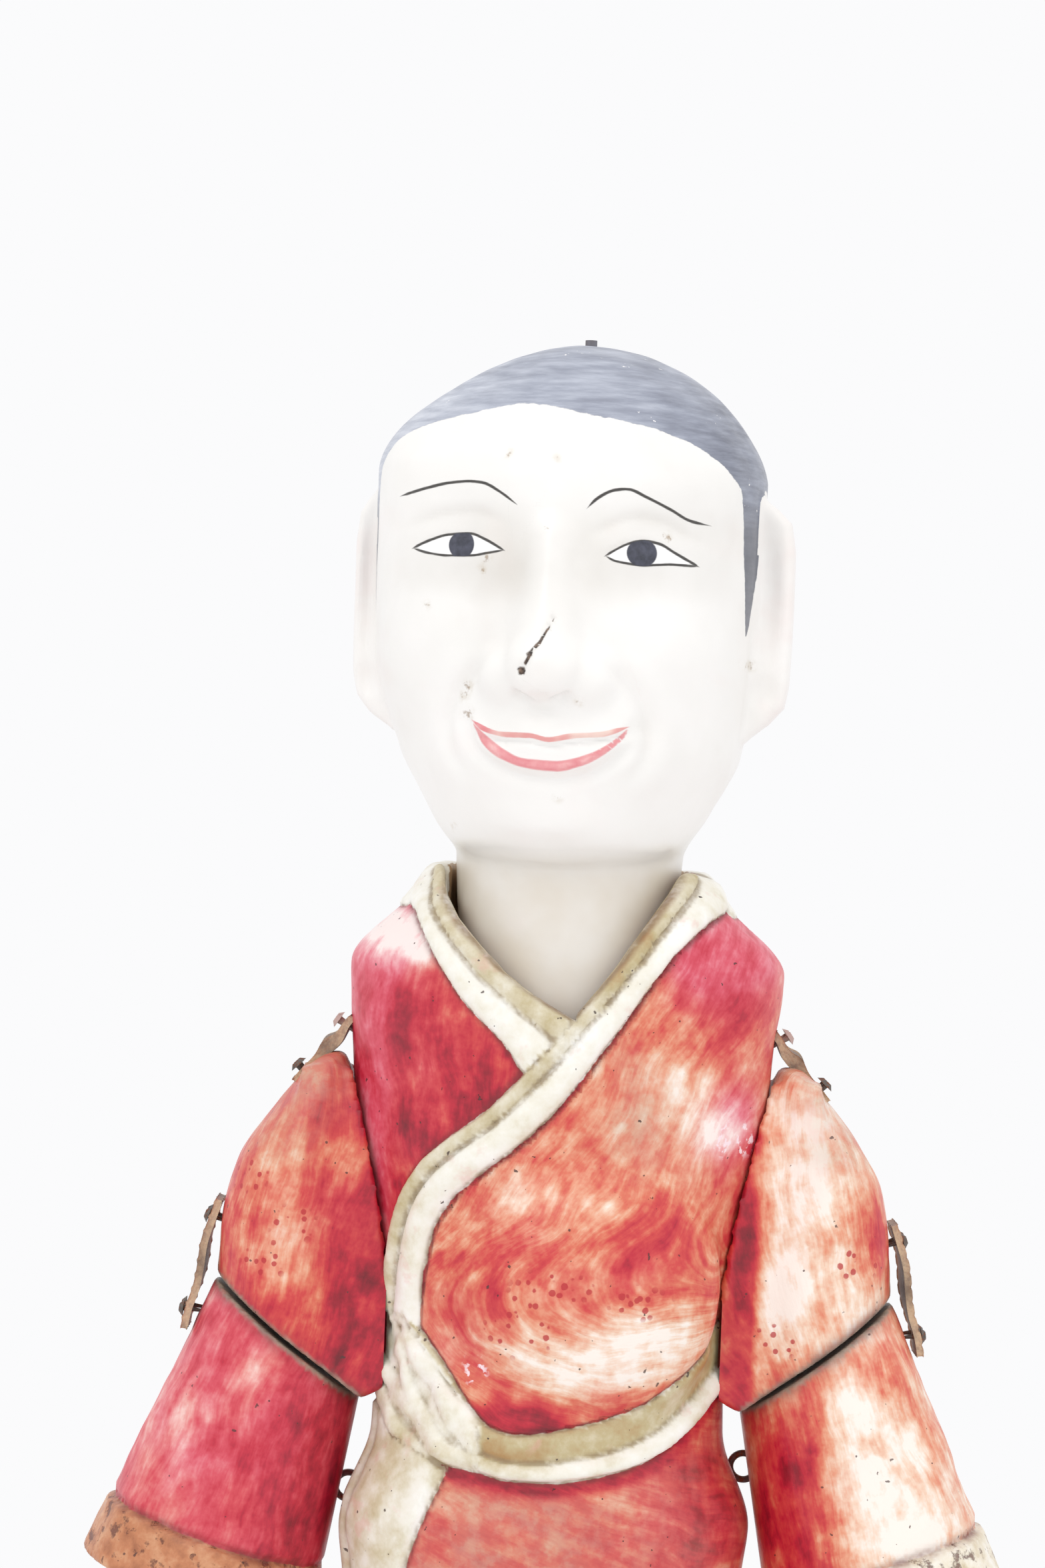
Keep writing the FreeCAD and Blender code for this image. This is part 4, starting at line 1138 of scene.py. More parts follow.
    # Brush strokes: steep down the chest, then round under the pouch; nearly level on the skirt.
    chest = ease(z, 248.0, 276.0)
    from_pouch = np.hypot(x - 12.0, z - 287.0)
    round_pouch = 38.0 * np.arctan2(12.0 - x, 287.0 - z)
    down_chest = 0.88 * (x - 12.0) - 0.47 * (z - 262.0) - 25.0
    flap_across = chest * down_chest - (1 - chest) * from_pouch
    flap_along = -chest * (0.47 * (x - 12.0) + 0.88 * (z - 262.0)) + (1 - chest) * round_pouch
    sweep = 38.0 * np.sin(u / 38.0)
    across = np.where(on_flap, flap_across, np.where(low, 0.35 * sweep + 0.94 * z, sweep))
    along = np.where(on_flap, flap_along, np.where(low, 0.94 * sweep - 0.35 * z, z))
    dots = sum(lift * hill(x, z, *spot) for *spot, lift in DOTTED_SPOTS)
    fleck = hill(x, z, 34.5, 290.0, 4.5, 4.0) + 0.7 * hill(x, z, -15.0, 244.0, 3.0, 4.0)
    dust = skirt * (0.55 * hill(x, z, -4.0, 205.0, 20.0, 26.0) + 0.15) * ease(below_sash, 1.5, 5.0)
    dust += 0.6 * on_flap * hill(x, z, 14.0, 296.0, 7.0, 11.0)
    edge = np.abs(cream)
    inner_wall = (np.hypot(x, y) < 24.6) & (z > 298.5)
    lining = (inside(NECK_NOTCH, x, z) > -1.1) & (y < 8.0) & (z > 300.0)
    values = {
        "cream": np.where(inner_wall | lining, 1.0, cream),
        "age": age,
        "tone": np.clip(tone, 0.1, 0.9),
        "pink": np.clip(pink, 0, 1),
        "dots": dots * on_flap,
        "fleck": fleck * on_front,
        "dust": np.clip(dust, 0, 1),
        "across": across,
        "along": along,
        "valley": relief.read(relief.valley, u, z),
        "edge": edge,
        "bare": np.maximum(np.where(inner_wall, 1.0, 0.0), ease(-z, -19.0, -18.2)),
    }
    piece = make_piece("robe_carving", points, quads, values)
    stand_for(piece, "figure", "body_block", robe_finish())


def robe_paint(f, shift):
    """Red paint brushed on and rubbed back to the white ground, as a colour, with its tone."""
    across = f.value("across")
    along = f.value("along")
    bend = f.swing(f.noise(38, 2), 9.0)
    across = f.add(across, bend)
    brush = f.streaks(across, along, 0.34, 3.0, 0.20)
    hair_fine = f.streaks(across, along, 1.3, 3.0, 0.16)
    patch = f.noise(105, 4, 0.62)
    mottle = f.noise(290, 4, 0.6)
    tone = f.add(f.value("tone"), shift)
    tone = f.add(tone, f.swing(brush, 0.72))
    tone = f.add(tone, f.swing(hair_fine, 0.26))
    tone = f.add(tone, f.swing(patch, 0.85))
    tone = f.add(tone, f.swing(mottle, 0.42))
    lifted = f.add(f.times(tone, 0.86), 0.12)
    orange = f.ramp(
        lifted,
        [
            (0.0, (112, 8, 26)), (0.14, (154, 12, 38)), (0.26, (190, 26, 50)), (0.40, (208, 66, 62)),
            (0.53, (219, 116, 88)), (0.65, (230, 162, 130)), (0.79, (240, 208, 184)),
            (0.92, (248, 238, 228)),
        ],
    )
    rose = f.ramp(
        lifted,
        [
            (0.0, (118, 8, 32)), (0.14, (160, 14, 46)), (0.28, (196, 36, 62)), (0.43, (214, 78, 98)),
            (0.58, (226, 122, 136)), (0.74, (238, 178, 182)), (0.91, (247, 230, 226)),
        ],
    )
    pinkness = f.add(f.value("pink"), f.swing(f.noise(55, 2), 0.5))
    colour = f.mix(f.rise(pinkness, 0.15, 0.75), orange, rose)
    dust = f.times(f.value("dust"), f.rise(f.noise(80, 4, 0.6), 0.30, 0.62, 0.35, 1.0))
    colour = f.mix(dust, colour, f.mix(f.rise(mottle, 0.4, 0.6), (204, 132, 112), (198, 166, 144)))
    cells = f.node("ShaderNodeTexVoronoi", Vector=f.place, Scale=460.0).outputs["Distance"]
    cells = f.add(cells, f.swing(mottle, 0.45))
    dots = f.times(f.rise(cells, 0.33, 0.25), f.rise(f.value("dots"), 0.25, 0.6))
    colour = f.mix(f.times(dots, 0.85), colour, (184, 34, 44))
    fleck = f.times(f.rise(f.noise(420, 3, 0.55), 0.55, 0.61), f.rise(f.value("fleck"), 0.2, 0.6))
    colour = f.mix(fleck, colour, (247, 224, 230))
    return colour, tone, brush, patch


def robe_finish():
    f = Finish("worn_red_robe_paint")
    colour, tone, brush, patch = robe_paint(f, 0.0)
    fine = f.noise(520, 3)
    soft = f.noise(210, 4, 0.6)

    age = f.add(f.value("age"), f.swing(soft, 0.75))
    age = f.add(age, f.swing(f.noise(60, 3), 0.5))
    ivory = f.ramp(
        age,
        [
            (0.10, (248, 246, 240)), (0.34, (236, 231, 216)), (0.52, (214, 203, 174)),
            (0.68, (192, 176, 134)), (0.90, (176, 138, 88)),
        ],
    )
    red_rub = f.times(f.rise(f.noise(150, 4), 0.60, 0.72), 0.35)
    ivory = f.mix(red_rub, ivory, (226, 168, 158))
    cream = f.add(f.value("cream"), f.swing(f.noise(430, 3), 0.9))
    colour = f.mix(f.rise(cream, -0.14, 0.14), colour, ivory)
    seam = f.rise(f.add(f.value("edge"), f.times(soft, 0.7)), 1.1, 0.25)
    seam = f.times(seam, f.rise(patch, 0.30, 0.62, 0.10, 0.75))
    colour = f.mix(seam, colour, (122, 60, 48))
    # Painted shade: the robe's carved hollows darkened, deep red on the paint and brown on the cream bands.
    hollow_shade = f.times(f.rise(f.value("valley"), 0.04, 0.42), f.rise(soft, 0.25, 0.6, 0.15, 0.75))
    colour = f.mix(hollow_shade, colour, f.mix(f.rise(cream, -0.2, 0.2), (118, 20, 30), (146, 124, 92)))
    pit = f.rise(f.noise(700, 2, 0.4), 0.745, 0.765)
    colour = f.mix(f.times(pit, 0.85), colour, (64, 44, 40))
    rings = f.grain(300, 300, 18)
    wood = f.ramp(rings, [(0.3, (150, 116, 82)), (0.55, (182, 150, 112)), (0.8, (208, 182, 146))])
    colour = f.mix(f.rise(f.value("bare"), 0.3, 0.7), colour, wood)

    on_red = f.rise(cream, 0.1, -0.1)
    height = f.add(f.times(f.times(brush, on_red), 0.8), f.times(fine, 0.30))
    height = f.add(height, f.times(f.times(f.rise(tone, 0.55, 0.85), on_red), -0.55))
    height = f.sum("SUBTRACT", height, f.times(pit, 1.2))
    normal = f.bump(height, 0.00035, 0.75)
    rough = f.rise(f.noise(90, 3), 0.3, 0.7, 0.36, 0.56)
    return f.done(colour, rough, normal, Coat_Weight=0.12, Coat_Roughness=0.25)



# ---------------------------------------------------------------- arms

ARM_Z = [232.0, 257.0, 270.0, 280.5, 290.5, 299.5, 303.6]
ARM_INNER = [36.4, 37.4, 39.2, 40.6, 42.2, 42.9, 43.5]
ARM_OUTER = [68.2, 67.9, 67.2, 65.2, 59.3, 51.9, 48.4]
ARM_DEEP = [17.0, 17.2, 17.0, 16.0, 14.0, 9.6, 5.6]
ELBOW_POINT = (53.2, 247.0)
ELBOW_SLOPE = math.radians(37.1)
ELBOW_GAP = 1.0
SLEEVE_END = (69.6, 194.8)
SLEEVE_TILT = math.radians(16.9)
SLEEVE_TOP_RADIUS = 17.2
SLEEVE_END_RADIUS = 24.4
SLEEVE_LENGTH = 58.9
SLEEVE_MOUTH_RADIUS = 20.6
SLEEVE_MOUTH_DEPTH = 9.0

# Front view (distance out from the middle, height, half width, half height, lift of the paint's tone).
ARM_SPOTS = {
    "right": [
        (46, 290, 7, 6, -0.14), (58, 284, 8, 10, 0.14), (42, 262, 5, 14, -0.30), (40, 245, 6, 8, -0.30),
        (54, 264, 8, 9, 0.30), (62, 270, 6, 6, -0.10), (50, 300, 6, 4, 0.16), (66, 216, 12, 18, -0.02),
        (50, 228, 6, 12, -0.38), (52, 205, 7, 16, -0.36), (74, 232, 8, 10, 0.18), (60, 240, 8, 5, 0.16),
    ],
    "left": [
        (50, 285, 10, 16, 0.28), (46, 262, 6, 14, 0.32), (57, 258, 9, 10, 0.16), (64, 272, 5, 10, -0.26),
        (46, 240, 8, 5, -0.05), (38, 258, 2.5, 14, -0.55), (66, 224, 12, 16, 0.36), (76, 206, 10, 12, 0.30),
        (50, 226, 4.5, 14, -0.40), (54, 204, 5, 14, -0.36), (62, 300, 8, 6, 0.1), (58, 238, 8, 5, 0.22),
    ],
}


ARM_PINK = {"right": (0.22, 0.55), "left": (0.12, 0.18)}
ARM_DOTS = {
    "right": [(62.0, 279.0), (58.0, 262.0), (52.0, 270.0)],
    "left": [(60.0, 266.0), (44.0, 250.0)],
}


def over_elbow(x, z):
    """Height over the slanted elbow cut."""
    return (z - ELBOW_POINT[1]) * math.cos(ELBOW_SLOPE) - (x - ELBOW_POINT[0]) * math.sin(ELBOW_SLOPE)


def along_sleeve(x, z):
    """Height up the forearm from its sleeve's end, and distance out from its middle line."""
    dx, dz = x - SLEEVE_END[0], z - SLEEVE_END[1]
    up = -dx * math.sin(SLEEVE_TILT) + dz * math.cos(SLEEVE_TILT)
    return up, dx * math.cos(SLEEVE_TILT) + dz * math.sin(SLEEVE_TILT)


def from_sleeve(out, y, up):
    """A point given along the forearm, in the figure's frame."""
    x = SLEEVE_END[0] + out * math.cos(SLEEVE_TILT) - up * math.sin(SLEEVE_TILT)
    z = SLEEVE_END[1] + out * math.sin(SLEEVE_TILT) + up * math.cos(SLEEVE_TILT)
    return (x, y, z)


def robe_side(p):
    """Distance out from the robe's plain sides."""
    x, y, z = p.T
    wide, deep = robe_sizes(z)
    q = np.hypot(x / wide, y / deep)
    return (q - 1) * q / (np.hypot(x / wide**2, y / deep**2) + 1e-9)


def upper_arm_form(p):
    x, y, z = p.T
    inner = follow(z, ARM_Z, ARM_INNER)
    outer = follow(z, ARM_Z, ARM_OUTER)
    deep = follow(z, ARM_Z, ARM_DEEP)
    wide = (outer - inner) / 2
    shape = (np.hypot((x - (inner + outer) / 2) / wide, y / deep) - 1) * np.minimum(wide, deep)
    shape = carve(shape, 303.6 - z, 2.0)
    turn = np.arctan2(y, x - (inner + outer) / 2)
    fold = 0.35 * np.cos(3 * turn + z * 0.12) * ease(-z, -292, -262)
    inner_side = ease(-(x - inner), -6.0, -1.0)
    shape = shape + (0.15 - fold) * (1 - inner_side) * 0.8
    # The inner side is hollowed to lie along the robe's round side.
    rest = np.maximum.reduce([1.15 - robe_side(p), x - 52.0, np.abs(y) - deep * 0.86, z - 300.5])
    shape = join(shape, rest, 2.0)
    shape = carve(shape, 0.42 * (x - 36.5) + 0.91 * (z - 234.5) - 1.3, 2.2)
    return carve(shape, over_elbow(x, z), 0.7)


def forearm_form(p):
    x, y, z = p.T
    up, out = along_sleeve(x, z)
    share = np.clip(up / SLEEVE_LENGTH, 0, 1.2)
    radius = SLEEVE_END_RADIUS + (SLEEVE_TOP_RADIUS - SLEEVE_END_RADIUS) * share
    turn = np.arctan2(y, out)
    fold = 0.55 * np.cos(4 * turn + 0.9 + up * 0.03) * ease(-up, -44, -12) * ease(np.abs(turn), 0.5, 1.2)
    towards_body = ease(np.abs(turn), 2.2, 2.7)
    cuff = 0.55 * ease(-up, -12.2, -11.2) * (1 - towards_body)
    crease = 0.9 * np.exp(-(((up - 12.6) / 0.8) ** 2))
    shape = np.hypot(out, y) - radius + 0.35 - fold * (1 - towards_body) - cuff
    shape += crease * (1 - 0.5 * towards_body)
    shape = carve(shape, up, 1.4)
    mouth = np.maximum(np.hypot(out, y) - SLEEVE_MOUTH_RADIUS, up - SLEEVE_MOUTH_DEPTH)
    shape = carve(shape, mouth, 0.8)
    return carve(shape, -(over_elbow(x, z) + ELBOW_GAP), 0.7)


def hand_form(p):
    """A simple carved hand hanging from the sleeve, palm towards the body, thumb forward."""
    up_front = from_sleeve(0.0, 0.0, 9.0)
    shape = capsule(p, up_front, from_sleeve(0.0, 0.0, -6.0), 7.0, 6.2)
    palm = capsule(p, from_sleeve(0.0, -2.2, -8.0), from_sleeve(0.4, -2.6, -19.0), 6.0, 6.4)
    heel = capsule(p, from_sleeve(0.0, 3.0, -9.0), from_sleeve(0.4, 3.4, -19.0), 5.8, 6.0)
    shape = join(shape, join(palm, heel, 3.0), 3.5)
    for number, (side, length) in enumerate(((-7.6, 36.5), (-2.6, 39.6), (2.4, 38.4), (7.2, 34.0))):
        curl = -1.6 - 0.7 * number
        knuckle = from_sleeve(0.6, side * 0.86, -20.0)
        joint = from_sleeve(0.2, side * 0.93, -29.0)
        tip = from_sleeve(curl, side * 0.96, -length + 2.4)
        finger = np.minimum(capsule(p, knuckle, joint, 3.2, 2.8), capsule(p, joint, tip, 2.8, 2.2))
        shape = join(shape, finger, 0.9)
    thumb = np.minimum(
        capsule(p, from_sleeve(-0.5, -6.4, -10.0), from_sleeve(-1.6, -12.4, -18.0), 4.0, 3.2),
        capsule(p, from_sleeve(-1.6, -12.4, -18.0), from_sleeve(-2.0, -13.2, -25.5), 3.1, 2.3),
    )
    return join(shape, thumb, 2.2)


def mirrored(points, faces, sign):
    """The right arm's mesh from the left arm's."""
    if sign > 0:
        return points, faces
    return points * np.array([-1.0, 1.0, 1.0]), faces[:, ::-1]


def arm_values(points, side, z_low):
    """The paint's numbers on an arm's points, given as if for the left arm."""
    x, y, z = points.T
    tone = np.full(len(x), 0.36 if side == "right" else 0.55)
    for *spot, lift in ARM_SPOTS[side]:
        tone += lift * hill(x, z, *spot) * ease(-y, -6.0, 4.0)
    up, out = along_sleeve(x, z)
    turn = np.arctan2(y, x - 53.0 if z_low else out)
    tone += 0.05 * uneven(points, 30.0, 31 if side == "left" else 32)
    # Darker toward the inner side beside the body: partly thicker deep red paint there, partly painted shade
    # between the arm and the robe.
    inner = ease(-x, -41.5, -38.0) if z_low else ease(-out, 8.0, 19.0) * ease(np.abs(y), 3.0, 9.0)
    tone -= 0.28 * inner
    dots = sum(hill(x, z, cx, cz, 5.0, 4.0) for cx, cz in ARM_DOTS[side])
    grey_cap = 0.75 * hill(x, z, 49.0, 300.0, 7.0, 5.0) + 0.6 * hill(x, z, 57.0, 289.0, 8.0, 7.0)
    return {
        "dots": dots * ease(-y, -4.0, 4.0),
        "fleck": np.zeros(len(x)),
        "dust": np.clip(grey_cap, 0, 1),
        "tone": np.clip(tone, 0.1, 0.9),
        "pink": np.full(len(x), ARM_PINK[side][0 if z_low else 1]),
        "across": turn * 17.0 + (0.25 * z if z_low else 0.0),
        "along": z,
    }


def build_arm(side, hand_paint):
    sign = SIDES[side]
    paint = arm_finish(side)

    xs, ys, zs = [(33, 0.85), (71, 0)], [(-20, 0.85), (20, 0)], [(230, 0.85), (306, 0)]
    points, quads, out = carved(upper_arm_form, xs, ys, zs)
    seed = 41 if side == "left" else 43
    touch = ease(points[:, 0], 42.0, 48.0) * ease(over_elbow(points[:, 0], points[:, 2]), 0.5, 2.0)
    whittled = 0.22 * uneven(points, 19.0, seed) + 0.07 * uneven(points, 7.0, seed + 1)
    points = points + out * (touch * whittled)[:, None]
    lift = over_elbow(points[:, 0], points[:, 2])
    values = arm_values(points, side, True)
    values["cut"] = ease(-lift, -0.9, -0.2)
    values["cuff"] = np.full(len(points), -5.0)
    # Around the elbow cut, where the paint is darkened as painted shade beside the joint.
    values["rim"] = np.exp(-((lift / 1.6) ** 2))
    piece = make_piece("upper_arm_carving_" + side, *mirrored(points, quads, sign), values)
    stand_for(piece, "upper_arm_" + side, "upper_arm_" + side, paint)

    xs, ys, zs = [(36, 0.95), (96, 0)], [(-27, 0.95), (27, 0)], [(184, 0.95), (262, 0)]
    points, quads, out = carved(forearm_form, xs, ys, zs)
    lift = over_elbow(points[:, 0], points[:, 2]) + ELBOW_GAP
    up, _ = along_sleeve(points[:, 0], points[:, 2])
    touch = ease(points[:, 0], 44.0, 50.0) * ease(-lift, 0.5, 2.0) * ease(up, 0.5, 3.0)
    whittled = 0.22 * uneven(points, 19.0, seed + 2) + 0.08 * uneven(points, 7.0, seed + 3)
    points = points + out * (touch * whittled)[:, None]
    up, outward = along_sleeve(points[:, 0], points[:, 2])
    values = arm_values(points, side, False)
    mouth = np.hypot(outward, points[:, 1]) < SLEEVE_MOUTH_RADIUS + 0.9
    mouth &= up < SLEEVE_MOUTH_DEPTH + 1
    values["cut"] = np.maximum(ease(lift, -1.0, -0.3), np.where(mouth, 1.0, 0.0))
    values["cuff"] = 12.4 - up
    # Around the elbow cut and the cuff's line, where the paint is darkened: painted shade at the joint, dark
    # chipping at the cuff.
    values["rim"] = np.exp(-((lift / 1.8) ** 2)) + np.exp(-(((up - 12.4) / 0.9) ** 2))
    piece = make_piece("sleeve_carving_" + side, *mirrored(points, quads, sign), values)
    stand_for(piece, "forearm_" + side, "forearm_" + side, paint)

    low = from_sleeve(-10, 0, -42)
    high = from_sleeve(12, 0, 18)
    xs = [(low[0] - 12, 0.75), (high[0] + 26, 0)]
    zs = [(low[2] - 4, 0.75), (high[2] + 4, 0)]
    points, quads, _ = carved(hand_form, xs, [(-20, 0.75), (14, 0)], zs)
    up, outward = along_sleeve(points[:, 0], points[:, 2])
    nail = np.exp(-(((up + 35.0) / 3.0) ** 2)) * ease(outward, 0.5, 2.0)
    values = {"valley": ease(-np.abs(uneven(points, 15.0, 51)), -0.25, 0.0), "nail": nail}
    piece = make_piece("hand_carving_" + side, *mirrored(points, quads, sign), values)
    stand_for(piece, "forearm_" + side, "hand_" + side, hand_paint)


def build_arms():
    hand_paint = hand_finish()
    for side in SIDES:
        build_arm(side, hand_paint)


def arm_finish(side):
    f = Finish("worn_sleeve_paint_" + side)
    colour, tone, brush, patch = robe_paint(f, 0.02)
    soft = f.noise(230, 4, 0.6)
    fine = f.noise(560, 3)
    chips = f.rise(f.noise(300, 4, 0.65), 0.56, 0.66)
    if side == "right":
        band = f.ramp(soft, [(0.25, (150, 88, 56)), (0.5, (194, 126, 86)), (0.75, (222, 170, 130))])
    else:
        band = f.ramp(soft, [(0.25, (206, 188, 154)), (0.5, (236, 226, 206)), (0.75, (248, 244, 236))])
    band = f.mix(f.times(chips, 0.8), band, (96, 44, 34))
    cuff = f.add(f.value("cuff"), f.swing(f.noise(380, 3), 1.0))
    colour = f.mix(f.rise(cuff, -0.15, 0.15), colour, band)
    # Darker in patches along the rim: painted shade beside the elbow joint, and dark chipping at the cuff
    # line.
    rim_shade_and_chips = f.times(f.value("rim"), f.rise(patch, 0.35, 0.65, 0.1, 0.9))
    colour = f.mix(rim_shade_and_chips, colour, (120, 44, 40))
    grain = f.grain(260, 520, 120)
    wood = f.ramp(grain, [(0.3, (120, 104, 94)), (0.6, (160, 142, 126)), (0.8, (188, 168, 148))])
    wood = f.mix(f.times(f.rise(soft, 0.5, 0.7), 0.5), wood, (176, 92, 84))
    colour = f.mix(f.value("cut"), colour, wood)
    pit = f.rise(f.noise(700, 2, 0.4), 0.745, 0.765)
    colour = f.mix(f.times(pit, 0.8), colour, (70, 40, 38))
    height = f.add(f.times(brush, 0.8), f.times(fine, 0.3))
    height = f.add(height, f.times(f.rise(tone, 0.55, 0.85), -0.55))
    height = f.sum("SUBTRACT", height, f.times(f.times(chips, f.rise(cuff, -0.15, 0.15)), 1.0))
    normal = f.bump(height, 0.00035, 0.75)
    rough = f.rise(f.noise(90, 3), 0.3, 0.7, 0.36, 0.56)
    return f.done(colour, rough, normal, Coat_Weight=0.12, Coat_Roughness=0.25)


def hand_finish():
    f = Finish("worn_white_lacquer")
    broad = f.noise(90, 4, 0.6)
    fine = f.noise(480, 3)
    colour = f.ramp(broad, [(0.25, (248, 244, 238)), (0.6, (238, 230, 220)), (0.85, (222, 206, 188))])
    chip = f.rise(f.noise(210, 4, 0.65), 0.62, 0.68)
    colour = f.mix(f.times(chip, 0.8), colour, (176, 142, 106))
    colour = f.mix(f.times(f.value("valley"), 0.22), colour, (196, 176, 150))
    colour = f.mix(f.times(f.value("nail"), 0.35), colour, (238, 186, 178))
    normal = f.bump(f.add(f.times(fine, 0.4), f.times(chip, -0.8)), 0.0003, 0.6)
    return f.done(colour, f.rise(broad, 0.3, 0.7, 0.32, 0.5), normal, Coat_Weight=0.15, Coat_Roughness=0.2)


# ---------------------------------------------------------------- leather straps

STRAP_MIDDLE = 3.5
STRAP_HALF = 6.5
STRAP_INNER = 0.04
STRAP_OUTER = 1.28
STRAP_DOUBLED = 1.5
# Each left strap's line in the front view, through its tack seats, and where its bend starts and ends.
SHOULDER_STRAP = [(43.0, 311.0), (44.35, 308.95), (45.6, 306.2), (47.8, 303.8), (52.4, 299.4), (54.2, 297.6)]
ELBOW_STRAP = [
    (67.5, 272.5), (68.75, 268.95), (70.2, 264.0), (70.9, 259.2), (71.9, 254.6), (73.1, 250.3), (73.6, 246.6),
]


def leather_finish():
    f = Finish("old_strap_leather")
    grain = f.noise(900, 4, 0.6)
    broad = f.noise(160, 3)
    pores = f.node("ShaderNodeTexVoronoi", Vector=f.place, Scale=1500.0).outputs["Distance"]
    colour = f.ramp(broad, [(0.2, (96, 78, 68)), (0.5, (150, 128, 114)), (0.8, (186, 164, 146))])
    edge = f.value("edge")
    colour = f.mix(f.times(edge, f.rise(grain, 0.3, 0.6, 0.4, 0.95)), colour, (204, 176, 144))
    # Painted shadow: the strap darkened across the middle of its bend, where it stands off the arm.
    colour = f.mix(f.times(f.value("fold"), f.rise(broad, 0.3, 0.7, 0.3, 0.8)), colour, (66, 50, 44))
    height = f.add(f.times(pores, -0.6), f.times(grain, 0.6))
    normal = f.bump(height, 0.0003, 0.8)
    return f.done(colour, f.rise(broad, 0.3, 0.7, 0.55, 0.75), normal)


def build_strap(name, side, points, bulge, material):
    """A leather strip along a line of points, creased across, with painted shadow across its bend, and worn
    at its edges.
    """
    sign = SIDES[side]
    line = Stroke(points, 6)
    rows = len(line.line)
    doubled = STRAP_DOUBLED if bulge > 0 else 0.0
    wide = np.linspace(STRAP_MIDDLE - STRAP_HALF, STRAP_MIDDLE + STRAP_HALF, 15)
    tangent = np.gradient(line.line, axis=0)
    tangent /= np.hypot(*tangent.T)[:, None]
    normal = np.stack([tangent[:, 1], -tangent[:, 0]], 1) * bulge
    share = line.run / line.length
    top, low, edge, fold = [], [], [], []
    for i in range(rows):
        for y in wide:
            across = (y - STRAP_MIDDLE) / STRAP_HALF
            wave = 0.22 * math.sin(7.0 * share[i] + 0.9 * across) * math.sin(math.pi * share[i])
            cup = -0.25 * across * across * math.sin(math.pi * share[i])
            narrow = 1 - 0.05 * math.sin(math.pi * share[i]) + 0.02 * math.sin(17 * share[i] + across)
            centre = line.line[i] + normal[i] * (wave + cup)
            place = STRAP_MIDDLE + (y - STRAP_MIDDLE) * narrow
            outer = centre + normal[i] * STRAP_OUTER
            second = doubled * math.exp(-(((share[i] - 0.42) / 0.16) ** 2))
            inner = centre + normal[i] * (STRAP_INNER - second)
            top.append((outer[0], place, outer[1]))
            low.append((inner[0], place, inner[1]))
            edge.append(ease(np.array(abs(across)), 0.82, 0.99).item())
            # Where the strip's middle bends off the arm; the leather is darkened there as painted shadow.
            fold.append(math.exp(-(((share[i] - 0.5 - 0.04 * across) / 0.13) ** 2)))
    points3 = np.array(top + low)
    count = len(wide)
    faces = []
    half = rows * count
    for i in range(rows - 1):
        for j in range(count - 1):
            a = i * count + j
            ring = (a, a + 1, a + count + 1, a + count)
            faces.append(ring)
            faces.append(tuple(half + n for n in ring[::-1]))
    for i in range(rows - 1):
        for j, flip in ((0, True), (count - 1, False)):
            a = i * count + j
            ring = (a, a + count, half + a + count, half + a)
            faces.append(ring[::-1] if flip else ring)
    for j in range(count - 1):
        for i, flip in ((0, False), (rows - 1, True)):
            a = i * count + j
            ring = (a, a + 1, half + a + 1, half + a)
            faces.append(ring[::-1] if flip else ring)
    faces = np.array(faces)
    if sign < 0:
        points3 = points3 * np.array([-1.0, 1.0, 1.0])
        faces = faces[:, ::-1]
    if bulge < 0:
        faces = faces[:, ::-1]
    piece = make_piece(name, points3, faces, {"edge": edge + edge, "fold": fold + fold})
    soften = piece.modifiers.new("soften", "BEVEL")
    soften.width = 0.00022
    soften.segments = 2
    soften.limit_method = "ANGLE"
    fix = bpy.context.evaluated_depsgraph_get()
    fixed = bpy.data.meshes.new_from_object(piece.evaluated_get(fix))
    piece.modifiers.clear()
    piece.data = fixed
    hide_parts(name.replace("_leather", ""))
    dress(piece, material)
    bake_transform(piece)


def build_straps():
    material = leather_finish()
    for side in SIDES:
        shoulder = "shoulder_strap_leather_" + side
        build_strap(shoulder, side, SHOULDER_STRAP, 1.0, material)
        elbow = "elbow_strap_leather_" + side
        build_strap(elbow, side, ELBOW_STRAP, -1.0, material)


# ---------------------------------------------------------------- shoes and base

SHOE_X = 19.0
BASE_HEIGHT = 18.0
BASE_PROFILE = [
    (12.3, 0.0), (62.6, 0.0), (64.6, 0.7), (65.7, 2.2), (65.8, 4.4), (64.6, 5.6), (63.5, 6.2),
    (63.6, 6.9), (65.0, 7.8), (65.9, 9.6), (65.8, 12.0), (65.0, 14.2), (63.4, 16.2), (61.2, 17.4),
    (58.6, 18.0), (52.8, 18.0), (52.2, 17.3), (51.4, 17.3), (50.8, 18.0), (12.3, 18.0),
]


def shoe_form(p):
    x, y, z = p.T
    q = p - np.array([SHOE_X, -36.0, BASE_HEIGHT])
    body = ellipsoid(q, (0, 0, 0), (12.4, 24.9, 13.9))
    toe = ellipsoid(q, (0.6, -18.5, 5.2), (7.2, 6.0, 7.0))
    shape = join(body, toe, 4.0)
    sole = np.exp(-(((q[:, 2] - 3.6) / 0.5) ** 2)) * 0.55
    welt = 0.35 * ease(-q[:, 2], -3.3, -2.7)
    seam = np.exp(-((x - SHOE_X) / 0.5) ** 2) * ease(q[:, 2], 4, 7) * 0.35
    shape = shape + sole - welt + seam
    return carve(shape, q[:, 2] - 0.05, 0.5)


def build_shoes():
    material = shoe_finish()
    points, quads, _ = carved(shoe_form, [(4, 0.7), (34, 0)], [(-64, 0.7), (-8, 0)], [(16.5, 0.6), (34, 0)])
    points[:, 2] = np.maximum(points[:, 2], BASE_HEIGHT)
    values = {"sole": 21.2 - points[:, 2], "toe": ease(-points[:, 1], 48, 58)}
    for side, sign in SIDES.items():
        piece = make_piece("shoe_carving_" + side, *mirrored(points, quads, sign), values)
        stand_for(piece, "figure", "shoe_" + side, material)


